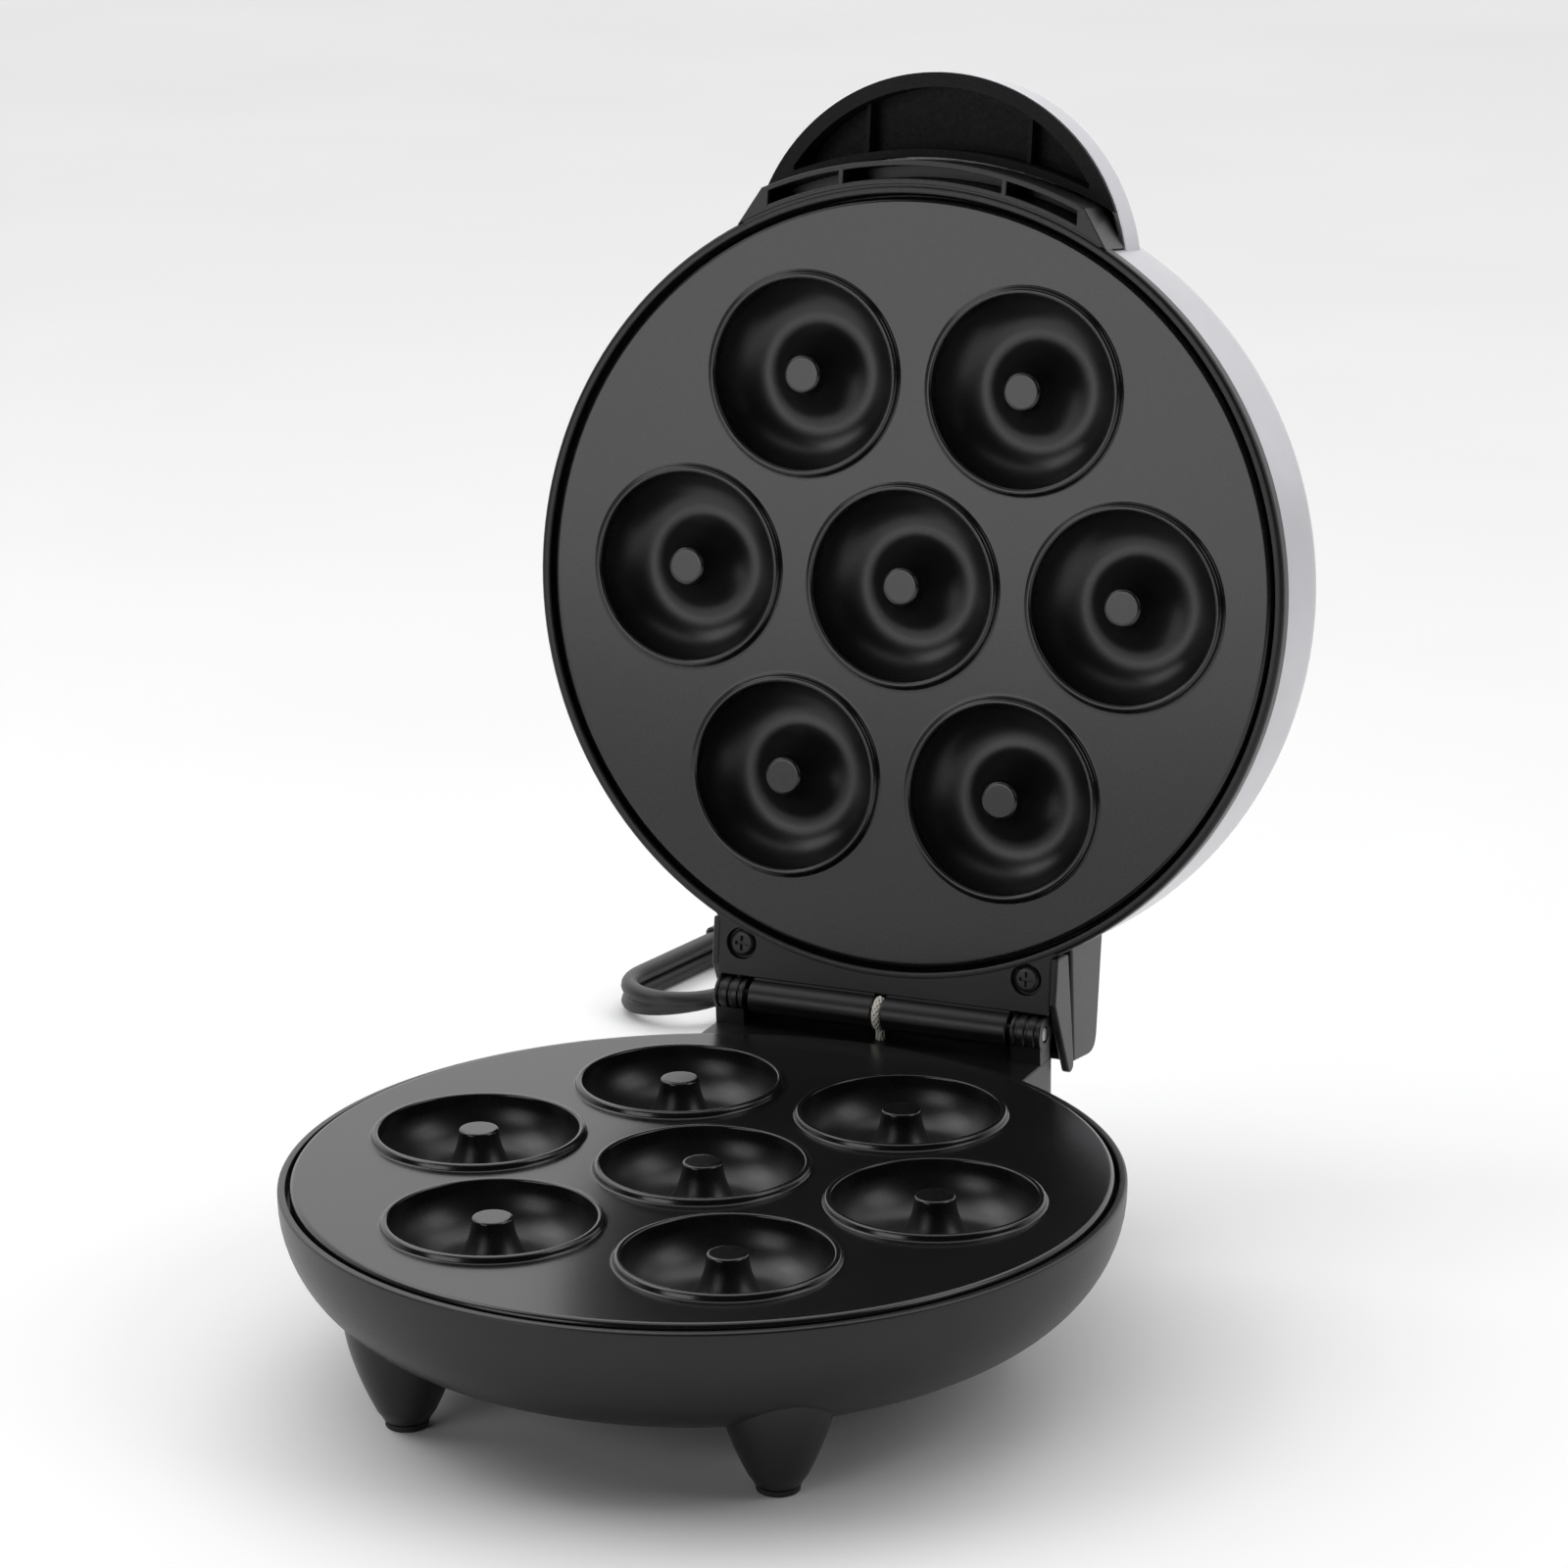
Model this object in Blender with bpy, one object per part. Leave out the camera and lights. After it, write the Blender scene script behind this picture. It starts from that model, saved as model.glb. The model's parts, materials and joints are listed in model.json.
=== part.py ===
"""A seven-ring donut maker, standing open: a round base on feet, a hinged lid that
holds the second cooking plate, a scoop handle, the parts inside, and its mains cord.

Metres, +Z up, +X to the right, -Y towards the person using it. The base is drawn round
the middle of the lower cooking plate's flat face. The lid is drawn closed over it and
then swung open about the hinge pin.
"""

import math

import bmesh
import bpy
from mathutils import Matrix, Vector

# ---------------------------------------------------------------- driving sizes
TABLE_TO_PLATE = 0.053  # height of the lower plate's flat face
BASE_CENTRE_Y = -0.0402  # the base stands in front of the middle of the open footprint
FIT_GAP = 0.0003  # between pieces that touch

PLATE_THICKNESS = 0.0020
PLATE_EDGE_RADIUS = 0.0035
PLATE_SKIRT = 0.0064
PLATE_SPACING = 0.0040  # between the two flat faces when the lid is closed

RING_RADIUS = 0.0286
RING_WEB = 0.0078  # flat left between two rings
DONUT_PITCH = 2 * RING_RADIUS + RING_WEB
PLATE_MARGIN = 0.0132  # flat left outside the outer rings
PLATE_RADIUS = DONUT_PITCH + RING_RADIUS + PLATE_MARGIN
RING_HEIGHT = 0.0017
RING_WIDTH = 0.0016
TROUGH_RADIUS = 0.0155
TROUGH_DEPTH = 0.0120
POST_RADIUS = 0.0053
POST_TAPER = 0.0005

FRAME_REVEAL = 0.0011  # dark gap round a cooking plate
HOUSING_RIM_WIDTH = 0.0021
HOUSING_RADIUS = PLATE_RADIUS + FRAME_REVEAL + HOUSING_RIM_WIDTH
HOUSING_WALL = 0.0024
HOUSING_RIM_DROP = 0.0012  # rim below the plate's flat face
HOUSING_DEPTH = 0.0397
HOUSING_FLAT_RADIUS = 0.0510
HOUSING_OPENING_RADIUS = 0.0400
LEDGE_THICKNESS = 0.0020
LEDGE_INNER_RADIUS = DONUT_PITCH + RING_RADIUS - 0.0010
PLATE_BOSS_CIRCLE = LEDGE_INNER_RADIUS + 0.0044
PLATE_BOSS_RADIUS = 0.0040

SCREW_RADIUS = 0.0015
SCREW_HEAD_RADIUS = 0.0034
SCREW_HEAD_HEIGHT = 0.0016

LEG_CIRCLE = HOUSING_RADIUS - 0.0235
LEG_ANGLE = math.radians(53.46)
LEG_TIP_RADIUS = 0.0062
LEG_TOP_RADIUS = 0.0155
LEG_HEIGHT = TABLE_TO_PLATE - 0.0230
PAD_HEIGHT = 0.0016
PAD_RADIUS = 0.0056
PAD_STEM_RADIUS = 0.0020
PAD_STEM_HEIGHT = 0.0030
REAR_FOOT_X = 0.0380
REAR_FOOT_INSET = 0.0150  # in front of the pedestal's back
REAR_FOOT_RADIUS = 0.0090

HINGE_SETBACK = 0.0102  # behind the housing
HINGE_Y = HOUSING_RADIUS + HINGE_SETBACK
HINGE_Z = 0.0042
OPEN_ANGLE = math.radians(97.9)
PIN_RADIUS = 0.0020
BARREL_RADIUS = 0.0049
BARREL_CLEARANCE = 0.0005  # between the barrels and the edge of the lid's rear plate
TUBE_INNER_X = 0.0015
TUBE_OUTER_X = 0.0389
KNUCKLE_INNER_X = 0.0403
PEDESTAL_HALF_WIDTH = 0.0493
PEDESTAL_BACK_Y = HINGE_Y + 0.0088
PEDESTAL_DROP = BARREL_RADIUS - HINGE_Z + 0.0029  # its top below the plate's flat face
PEDESTAL_CLEARANCE = 0.0078  # its underside above the table
PEDESTAL_WALL = 0.0025
PEDESTAL_CORNER = 0.0050
KNUCKLE_WEB_DEPTH = 0.0070

FRAME_RADIUS = HOUSING_RADIUS + 0.0005
FRAME_LOW = 0.0030  # underside of the lid's frame when closed
FRAME_HEIGHT = 0.0047
FRAME_STEP = 0.0010  # ledge of its wall below its top
FRAME_STEP_SLOPE = 0.0007
REAR_PLATE_HALF_WIDTH = 0.0500
REAR_PLATE_BACK_Y = HINGE_Y - BARREL_RADIUS - BARREL_CLEARANCE
REAR_PLATE_THICKNESS = 0.0030
CHEEK_THICKNESS = 0.0020
CHEEK_TIP_RADIUS = 0.0022
CHEEK_TIP_DROP = 0.0035  # below the rear cover's edge
HINGE_SCREW_X = 0.0430
HINGE_SCREW_Y = HINGE_Y - 0.0148
HINGE_SCREW_HEAD_RADIUS = 0.0038
HINGE_SCREW_RECESS = 0.0014

COVER_RADIUS = HOUSING_RADIUS
COVER_WALL = 0.0015
COVER_SHOULDER = 0.0140
COVER_TOP = 0.0450

BAND_RADIUS = COVER_RADIUS + 0.0069
BAND_GAP = 0.0004  # between the band and the cover
BAND_HALF_ANGLE = math.radians(24.0)
BAND_END_ANGLE = math.radians(29.5)
BAND_HEIGHT = 0.0147
BAND_WALL = 0.0015
RIB_X = 0.0240

HANDLE_CENTRE_Y = 0.0250 - COVER_RADIUS
HANDLE_RADIUS = 0.0540
HANDLE_LOW = 0.0160
HANDLE_HEIGHT = 0.0120
HANDLE_WALL = 0.0022
HANDLE_SKIN = 0.0015
HANDLE_RIM = 0.0020  # black rim left showing below the silver skin
HANDLE_RIB_DROP = 0.0050  # ribs in its hollow, below its rim

REAR_COVER_HALF_WIDTH = 0.0515
REAR_COVER_FRONT_Y = HINGE_Y - 0.0308
REAR_COVER_BACK_Y = HINGE_Y + 0.0108
REAR_COVER_TOP = 0.0405
REAR_COVER_WALL = 0.0018
REAR_COVER_CORNER = 0.0060
REAR_COVER_EDGE_FRONT = 0.0137  # height of its lower edge at the front
REAR_COVER_EDGE_BACK = 0.0224  # and at the back

HEATER_CIRCLE = DONUT_PITCH / 2
HEATER_RADIUS = 0.0026
HEATER_TAIL = 0.0190  # how far its ends turn down
HEATER_TURN_IN = 0.99  # share of its circle at which its ends turn down
REFLECTOR_INNER_RADIUS = HEATER_CIRCLE + 0.0095
REFLECTOR_OUTER_RADIUS = HOUSING_RADIUS - 0.0200
REFLECTOR_DEPTH = TROUGH_DEPTH + PLATE_THICKNESS + 0.0025
REFLECTOR_THICKNESS = 0.0005

LAMP_X = 0.0110
LAMP_Y = -0.0640
LAMP_RADIUS = 0.0040
LAMP_RISE = 0.0012

CORD_DIAMETER = 0.0056
CORD_EXIT_X = -0.0280
CORD_EXIT_HEIGHT = 0.0220
RELIEF_LENGTH = 0.0280
RELIEF_ROOT_RADIUS = 0.0062
RELIEF_NECK_RADIUS = 0.0045
RELIEF_TIP_RADIUS = 0.0038
RELIEF_FLANGE = 0.0030
CORD_START_Y = PEDESTAL_BACK_Y + RELIEF_LENGTH
HANK_NEAR_X = -0.1235
HANK_NEAR_Y = CORD_START_Y + 0.0976
HANK_ANGLE = math.radians(80.0)
HANK_RUN = 0.0900
HANK_FOLD_RADIUS = 0.0170
HANK_TURNS = 2
PLUG_LENGTH = 0.0330
PLUG_HALF_WIDTH = 0.0110
PLUG_HEIGHT = 0.0150
BLADE_LENGTH = 0.0170
BLADE_SPACING = 0.0127

LAP = 0.0003  # how far a shape runs into one that it is joined to
ROUND = 40  # sides of a large round piece
MEDIUM = 20
SMALL = 8
CAVITY_SIDES = 12

# ---------------------------------------------------------------- worked out from them
HOUSING_RIM = -HOUSING_RIM_DROP
LEDGE_TOP = -(PLATE_SKIRT + FIT_GAP)
TABLE = -TABLE_TO_PLATE
PEDESTAL_TOP = -PEDESTAL_DROP
PEDESTAL_LOW = TABLE + PEDESTAL_CLEARANCE
FRAME_TOP = FRAME_LOW + FRAME_HEIGHT
COVER_LOW = FRAME_TOP + FIT_GAP
BORE_RADIUS = PIN_RADIUS + FIT_GAP
BAND_TOP = FRAME_LOW + BAND_HEIGHT
HANDLE_TOP = HANDLE_LOW + HANDLE_HEIGHT
BOSS_ANGLES = [math.radians(angle) for angle in (30, 150, 270)]
PLATE_CENTRES = [(0.0, 0.0)] + [
    (DONUT_PITCH * math.cos(k * math.pi / 3), DONUT_PITCH * math.sin(k * math.pi / 3))
    for k in range(6)
]


# ---------------------------------------------------------------- scene and materials
for leftover in list(bpy.data.objects):
    bpy.data.objects.remove(leftover, do_unlink=True)


def material(name, colour, roughness, metallic=0.0):
    made = bpy.data.materials.new(name)
    made.use_nodes = True
    shader = made.node_tree.nodes["Principled BSDF"]
    shader.inputs["Base Color"].default_value = (*colour, 1.0)
    shader.inputs["Roughness"].default_value = roughness
    shader.inputs["Metallic"].default_value = metallic
    return made


NONSTICK = material("nonstick", (0.012, 0.012, 0.013), 0.30, 0.3)
BLACK = material("black_plastic", (0.016, 0.016, 0.016), 0.42)
SILVER = material("silver_lid", (0.62, 0.62, 0.64), 0.30, 0.9)
STEEL = material("steel", (0.55, 0.55, 0.56), 0.30, 1.0)
RUBBER = material("rubber", (0.020, 0.020, 0.020), 0.80)
SHEET = material("sheet_metal", (0.70, 0.70, 0.70), 0.35, 1.0)
BAKELITE = material("bakelite", (0.05, 0.04, 0.03), 0.50)
BRAID = material("glass_braid", (0.70, 0.68, 0.60), 0.90)
RED = material("red_lens", (0.60, 0.03, 0.02), 0.20)
GREEN = material("green_lens", (0.03, 0.40, 0.08), 0.20)
BRASS = material("brass", (0.70, 0.55, 0.25), 0.25, 1.0)
CORD = material("cord_pvc", (0.014, 0.014, 0.014), 0.55)


def empty(name, location, rotation=(0.0, 0.0, 0.0)):
    made = bpy.data.objects.new(name, None)
    made.location = location
    made.rotation_euler = rotation
    bpy.context.scene.collection.objects.link(made)
    return made


BASE = empty("base_origin", (0.0, BASE_CENTRE_Y, TABLE_TO_PLATE))
HINGE = empty(
    "hinge_axis",
    (0.0, BASE_CENTRE_Y + HINGE_Y, TABLE_TO_PLATE + HINGE_Z),
    (-OPEN_ANGLE, 0.0, 0.0),
)


# ---------------------------------------------------------------- shape helpers
def lathe(profile, sides=ROUND, centre=(0.0, 0.0)):
    """A solid turned about a vertical axis from a closed outline of (radius, height)."""
    bm = bmesh.new()
    rings = []
    for radius, height in profile:
        if radius < 1e-9:
            rings.append([bm.verts.new((centre[0], centre[1], height))])
            continue
        ring = []
        for k in range(sides):
            turn = 2 * math.pi * k / sides
            x = centre[0] + radius * math.cos(turn)
            y = centre[1] + radius * math.sin(turn)
            ring.append(bm.verts.new((x, y, height)))
        rings.append(ring)
    for lower, upper in zip(rings, rings[1:] + rings[:1]):
        join_rings(bm, lower, upper)
    return bm


def join_rings(bm, first, second):
    """Faces between two rings of points; a ring of one point closes to it."""
    if len(first) == 1 and len(second) == 1:
        return
    count = max(len(first), len(second))
    for k in range(count):
        corners = [first[k % len(first)], first[(k + 1) % len(first)]]
        corners += [second[(k + 1) % len(second)], second[k % len(second)]]
        distinct = list(dict.fromkeys(corners))
        bm.faces.new(distinct)


def prism(outline, low, high):
    """An upright solid with the given outline of (x, y)."""
    bm = bmesh.new()
    floor = [bm.verts.new((x, y, low)) for x, y in outline]
    roof = [bm.verts.new((x, y, high)) for x, y in outline]
    bm.faces.new(floor)
    bm.faces.new(roof)
    for k in range(len(outline)):
        after = (k + 1) % len(outline)
        bm.faces.new((floor[k], floor[after], roof[after], roof[k]))
    return bm


def sideways(outline, low, high):
    """A solid along X with the given outline of (y, z)."""
    bm = prism(outline, low, high)
    turn = Matrix(((0, 0, 1, 0), (1, 0, 0, 0), (0, 1, 0, 0), (0, 0, 0, 1)))
    bmesh.ops.transform(bm, matrix=turn, verts=bm.verts)
    return bm


def block(low, high):
    outline = [(low[0], low[1]), (high[0], low[1]), (high[0], high[1]), (low[0], high[1])]
    return prism(outline, low[2], high[2])


def arc(centre, radius, start, stop, steps):
    """Points along an arc, both ends included; angles in radians from +X."""
    points = []
    for k in range(steps + 1):
        turn = start + (stop - start) * k / steps
        points.append(
            (centre[0] + radius * math.cos(turn), centre[1] + radius * math.sin(turn))
        )
    return points


def along_x(bm, y, z):
    """Turns an upright lathe so that its axis lies along X through (y, z)."""
    turn = Matrix.Translation((0.0, y, z)) @ Matrix.Rotation(math.pi / 2, 4, "Y")
    bmesh.ops.transform(bm, matrix=turn, verts=bm.verts)
    return bm


def merged(*meshes):
    """Several separate shapes in one mesh."""
    whole = bmesh.new()
    for bm in meshes:
        mesh = bpy.data.meshes.new("part")
        bm.to_mesh(mesh)
        bm.free()
        whole.from_mesh(mesh)
        bpy.data.meshes.remove(mesh)
    return whole


def make(name, bm, finish, parent=BASE, sharp=35.0):
    """Turns a bmesh into a named piece; the lid's pieces are drawn closed and follow it."""
    if parent is HINGE:
        bmesh.ops.translate(bm, verts=bm.verts, vec=(0.0, -HINGE_Y, -HINGE_Z))
    bmesh.ops.recalc_face_normals(bm, faces=bm.faces)
    mesh = bpy.data.meshes.new(name)
    bm.to_mesh(mesh)
    bm.free()
    mesh.shade_smooth()
    mesh.set_sharp_from_angle(angle=math.radians(sharp))
    if finish:
        mesh.materials.append(finish)
    made = bpy.data.objects.new(name, mesh)
    made.parent = parent
    bpy.context.scene.collection.objects.link(made)
    return made


def helper(name, bm, parent=BASE):
    made = make(name, bm, None, parent)
    made.hide_render = True
    made.display_type = "WIRE"
    return made


def boolean(piece, operation, *helpers):
    for other in helpers:
        modifier = piece.modifiers.new(other.name, "BOOLEAN")
        modifier.operation = operation
        modifier.object = other


def cylinder(radius, low, high, centre=(0.0, 0.0), sides=SMALL):
    profile = [(0.0, low), (radius, low), (radius, high), (0.0, high)]
    return lathe(profile, sides, centre)


def screw(head_low, head_radius, shank_high, centre):
    """A pan-head screw pointing up, with a conical start in its head."""
    head_high = head_low + SCREW_HEAD_HEIGHT
    recess = SCREW_HEAD_HEIGHT / 2
    profile = [
        (0.0, head_low + recess),
        (head_radius * 0.55, head_low),
        (head_radius * 0.85, head_low),
        (head_radius, head_low + recess),
        (head_radius, head_high),
        (SCREW_RADIUS, head_high),
        (SCREW_RADIUS, shank_high),
        (0.0, shank_high),
    ]
    return lathe(profile, SMALL, centre)


def mirrored_down(bm):
    """Turns a piece of the lower half over into the same piece of the lid."""
    flip = Matrix.Translation((0, 0, PLATE_SPACING)) @ Matrix.Scale(-1, 4, (0, 0, 1))
    bmesh.ops.transform(bm, matrix=flip, verts=bm.verts)
    return bm


# ---------------------------------------------------------------- cooking plates
def cavity_profile():
    """The upper side of one donut mould, from its ring inwards to the post's top."""
    inner = RING_RADIUS - 1.3 * RING_WIDTH
    slope = 0.3 * RING_WIDTH
    profile = [(RING_RADIUS - slope, RING_HEIGHT), (inner, RING_HEIGHT)]
    for angle in (25, 55, 90):
        turn = math.radians(angle)
        radius = TROUGH_RADIUS + (inner - TROUGH_RADIUS) * math.cos(turn)
        profile.append((radius, -TROUGH_DEPTH * math.sin(turn)))
    flare = TROUGH_RADIUS - POST_RADIUS - POST_TAPER
    for rise in (0.35, 1.0):
        left = 1.0 - rise
        radius = POST_RADIUS + POST_TAPER * left + flare * (1.0 - math.sqrt(1.0 - left**2))
        profile.append((radius, -TROUGH_DEPTH + (TROUGH_DEPTH + RING_HEIGHT) * rise))
    return profile


def cup_profile():
    """The underside of one mould, from the plate down to its flat bottom."""
    reach = RING_RADIUS - TROUGH_RADIUS - FIT_GAP
    depth = TROUGH_DEPTH + PLATE_THICKNESS
    profile = []
    for angle in (35, 90):
        turn = math.radians(angle)
        radius = TROUGH_RADIUS + reach * math.cos(turn)
        profile.append((radius, -depth * math.sin(turn)))
    return profile


def loop_at(bm, centre, radius, height, sides):
    points = arc(centre, radius, 0.0, 2 * math.pi * (sides - 1) / sides, sides - 1)
    return [bm.verts.new((x, y, height)) for x, y in points]


def close_loop(bm, loop):
    return [bm.edges.new((loop[k - 1], loop[k])) for k in range(len(loop))]


def sink(bm, loop, centre, profile, sides):
    """Rows of faces from a loop along a profile, closed by a cap at its end."""
    for radius, height in profile:
        lower = loop_at(bm, centre, radius, height, sides)
        join_rings(bm, loop, lower)
        loop = lower
    bm.faces.new(loop)


def cooking_plate():
    """A cast plate: flat face, seven ring moulds with posts, cups and bosses below."""
    bm = bmesh.new()
    top = loop_at(bm, (0, 0), PLATE_RADIUS - PLATE_EDGE_RADIUS, 0.0, ROUND)
    edges = close_loop(bm, top)
    below = loop_at(bm, (0, 0), PLATE_RADIUS - PLATE_THICKNESS, -PLATE_THICKNESS, ROUND)
    below_edges = close_loop(bm, below)
    moulds = []
    for centre in PLATE_CENTRES:
        mouth = loop_at(bm, centre, RING_RADIUS, 0.0, CAVITY_SIDES)
        cup = loop_at(bm, centre, RING_RADIUS, -PLATE_THICKNESS, CAVITY_SIDES)
        edges += close_loop(bm, mouth)
        below_edges += close_loop(bm, cup)
        moulds.append((centre, mouth, cup))
    bosses = []
    for angle in BOSS_ANGLES:
        centre = (PLATE_BOSS_CIRCLE * math.cos(angle), PLATE_BOSS_CIRCLE * math.sin(angle))
        boss = loop_at(bm, centre, PLATE_BOSS_RADIUS, -PLATE_THICKNESS, SMALL)
        below_edges += close_loop(bm, boss)
        bosses.append((centre, boss))
    bmesh.ops.triangle_fill(bm, edges=edges, use_beauty=True)
    bmesh.ops.triangle_fill(bm, edges=below_edges, use_beauty=True)

    for centre, mouth, cup in moulds:
        sink(bm, mouth, centre, cavity_profile(), CAVITY_SIDES)
        sink(bm, cup, centre, cup_profile(), CAVITY_SIDES)
    hole = SCREW_RADIUS + FIT_GAP
    boss_profile = [(PLATE_BOSS_RADIUS, -PLATE_SKIRT), (hole, -PLATE_SKIRT)]
    boss_profile.append((hole, -PLATE_THICKNESS - FIT_GAP))
    for centre, boss in bosses:
        sink(bm, boss, centre, boss_profile, SMALL)

    bend = PLATE_EDGE_RADIUS * (1.0 - math.sqrt(0.5))
    rim_profile = [
        (PLATE_RADIUS - bend, -bend),
        (PLATE_RADIUS, -PLATE_EDGE_RADIUS),
        (PLATE_RADIUS, -PLATE_SKIRT),
        (PLATE_RADIUS - PLATE_THICKNESS, -PLATE_SKIRT),
    ]
    ring = top
    for radius, height in rim_profile:
        lower = loop_at(bm, (0, 0), radius, height, ROUND)
        join_rings(bm, ring, lower)
        ring = lower
    join_rings(bm, ring, below)
    return bm


make("lower_plate", cooking_plate(), NONSTICK)
make("upper_plate", mirrored_down(cooking_plate()), NONSTICK, HINGE)


def boss_points():
    return [
        (PLATE_BOSS_CIRCLE * math.cos(angle), PLATE_BOSS_CIRCLE * math.sin(angle))
        for angle in BOSS_ANGLES
    ]


def plate_screws(prefix, parent, turned_over):
    """Screws up through the ledge into the bosses of a plate."""
    head_low = LEDGE_TOP - LEDGE_THICKNESS - FIT_GAP - SCREW_HEAD_HEIGHT
    for number, centre in enumerate(boss_points(), 1):
        bm = screw(head_low, SCREW_HEAD_RADIUS, -PLATE_THICKNESS - 2 * FIT_GAP, centre)
        if turned_over:
            mirrored_down(bm)
        make(f"{prefix}_plate_screw_{number}", bm, STEEL, parent)


plate_screws("lower", BASE, False)
plate_screws("upper", HINGE, True)


def ledge_holes():
    low = LEDGE_TOP - 2 * LEDGE_THICKNESS
    high = LEDGE_TOP + LEDGE_THICKNESS
    radius = SCREW_RADIUS + FIT_GAP
    return merged(*[cylinder(radius, low, high, centre) for centre in boss_points()])


# ---------------------------------------------------------------- base housing
BOWL_ANGLES = (0, 18, 38, 58, 75, 90)


def bowl(offset, angles):
    """Points down the bowl's side, moved outwards by offset."""
    points = []
    drop = HOUSING_DEPTH + HOUSING_RIM - 2 * HOUSING_RIM_DROP
    for angle in angles:
        turn = math.radians(angle)
        reach = HOUSING_RADIUS - HOUSING_FLAT_RADIUS
        radius = HOUSING_FLAT_RADIUS + (reach + offset) * math.cos(turn) ** 0.665
        height = HOUSING_RIM - 2 * HOUSING_RIM_DROP + offset * 0.1
        height -= (drop + offset) * math.sin(turn) ** 1.024
        points.append((radius, height))
    return points


def housing():
    corner = HOUSING_WALL * 0.4
    outer = [(HOUSING_RADIUS - corner, HOUSING_RIM), (HOUSING_RADIUS, HOUSING_RIM - corner)]
    outer += bowl(0.0, BOWL_ANGLES)
    low_ledge = LEDGE_TOP - LEDGE_THICKNESS
    wall = bowl(-HOUSING_WALL, BOWL_ANGLES[::-1])
    inner = [point for point in wall if point[1] < low_ledge - LEDGE_THICKNESS]
    profile = outer
    profile += [(HOUSING_OPENING_RADIUS, -HOUSING_DEPTH)]
    profile += [(HOUSING_OPENING_RADIUS, -HOUSING_DEPTH + HOUSING_WALL)]
    profile += inner
    profile += [
        (HOUSING_RADIUS - 2 * HOUSING_WALL, low_ledge),
        (LEDGE_INNER_RADIUS, low_ledge),
        (LEDGE_INNER_RADIUS, LEDGE_TOP),
        (PLATE_RADIUS + FRAME_REVEAL, LEDGE_TOP),
        (PLATE_RADIUS + FRAME_REVEAL, HOUSING_RIM),
    ]
    return lathe(profile)


def bowl_solid(offset):
    """The bowl's outer shape as a solid, used to shape what sits against it."""
    top = (HOUSING_RADIUS + offset, HOUSING_RIM + HOUSING_WALL)
    side = bowl(offset, BOWL_ANGLES)
    return lathe([(0.0, top[1]), top] + side + [(0.0, -HOUSING_DEPTH - offset)])


COVER_SCREW_CIRCLE = (HOUSING_OPENING_RADIUS + HOUSING_FLAT_RADIUS) / 2
COVER_SCREWS = arc((0, 0), COVER_SCREW_CIRCLE, math.pi / 4, math.pi * 7 / 4, 3)
COVER_THICKNESS = 0.0020
COVER_INSET = 0.0015
COVER_EDGE = HOUSING_FLAT_RADIUS - COVER_INSET
COVER_FACE = -HOUSING_DEPTH - FIT_GAP

base_housing = make("base_housing", housing(), BLACK)
boss_cutter = helper("cut_ledge_holes", ledge_holes())
cover_cutter = helper(
    "cut_cover_holes",
    merged(
        *[
            cylinder(
                SCREW_RADIUS + FIT_GAP,
                COVER_FACE - 2 * COVER_THICKNESS,
                -HOUSING_DEPTH + 2 * HOUSING_WALL,
                centre,
            )
            for centre in COVER_SCREWS
        ]
    ),
)
WIRE_HOLE_HALF_WIDTH = 0.0090
WIRE_HOLE_LOW = -0.0300
WIRE_HOLE_HIGH = -0.0180
wire_cutter = helper(
    "cut_wire_hole",
    block(
        (-WIRE_HOLE_HALF_WIDTH, HOUSING_FLAT_RADIUS, WIRE_HOLE_LOW),
        (WIRE_HOLE_HALF_WIDTH, HOUSING_RADIUS, WIRE_HOLE_HIGH),
    ),
)
boolean(base_housing, "DIFFERENCE", boss_cutter, cover_cutter, wire_cutter)

bottom_cover = make(
    "bottom_cover",
    lathe(
        [
            (0.0, COVER_FACE - COVER_THICKNESS),
            (COVER_EDGE, COVER_FACE - COVER_THICKNESS),
            (COVER_EDGE, COVER_FACE),
            (0.0, COVER_FACE),
        ]
    ),
    BLACK,
)
boolean(bottom_cover, "DIFFERENCE", cover_cutter)
for number, centre in enumerate(COVER_SCREWS, 1):
    head_low = COVER_FACE - COVER_THICKNESS - FIT_GAP - SCREW_HEAD_HEIGHT
    tip = -HOUSING_DEPTH + 1.5 * HOUSING_WALL
    bm = screw(head_low, SCREW_HEAD_RADIUS, tip, centre)
    make(f"bottom_cover_screw_{number}", bm, STEEL)


# ---------------------------------------------------------------- feet
def pad(centre):
    stem_top = TABLE + PAD_HEIGHT + PAD_STEM_HEIGHT
    profile = [
        (0.0, TABLE),
        (PAD_RADIUS, TABLE),
        (PAD_RADIUS, TABLE + PAD_HEIGHT),
        (PAD_STEM_RADIUS, TABLE + PAD_HEIGHT),
        (PAD_STEM_RADIUS, stem_top),
        (0.0, stem_top),
    ]
    return lathe(profile, SMALL, centre)


def foot(centre, side_profile):
    """A turned foot with a socket for its pad's stem; the profile runs bottom to top."""
    low = side_profile[0][1]
    socket = PAD_STEM_RADIUS + FIT_GAP
    roof = low + PAD_STEM_HEIGHT
    profile = [(0.0, roof), (socket, roof), (socket, low)]
    profile += side_profile
    profile += [(0.0, side_profile[-1][1])]
    return lathe(profile, MEDIUM, centre)


def leg_profile():
    low = TABLE + PAD_HEIGHT + FIT_GAP
    profile = []
    for share in (0.0, 0.12, 0.28, 0.48, 0.72, 1.0):
        swell = 1.0 - (1.0 - share) ** 1.6
        radius = LEG_TIP_RADIUS + (LEG_TOP_RADIUS - LEG_TIP_RADIUS) * swell
        profile.append((radius, low + (LEG_HEIGHT - PAD_HEIGHT) * share))
    return profile


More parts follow.
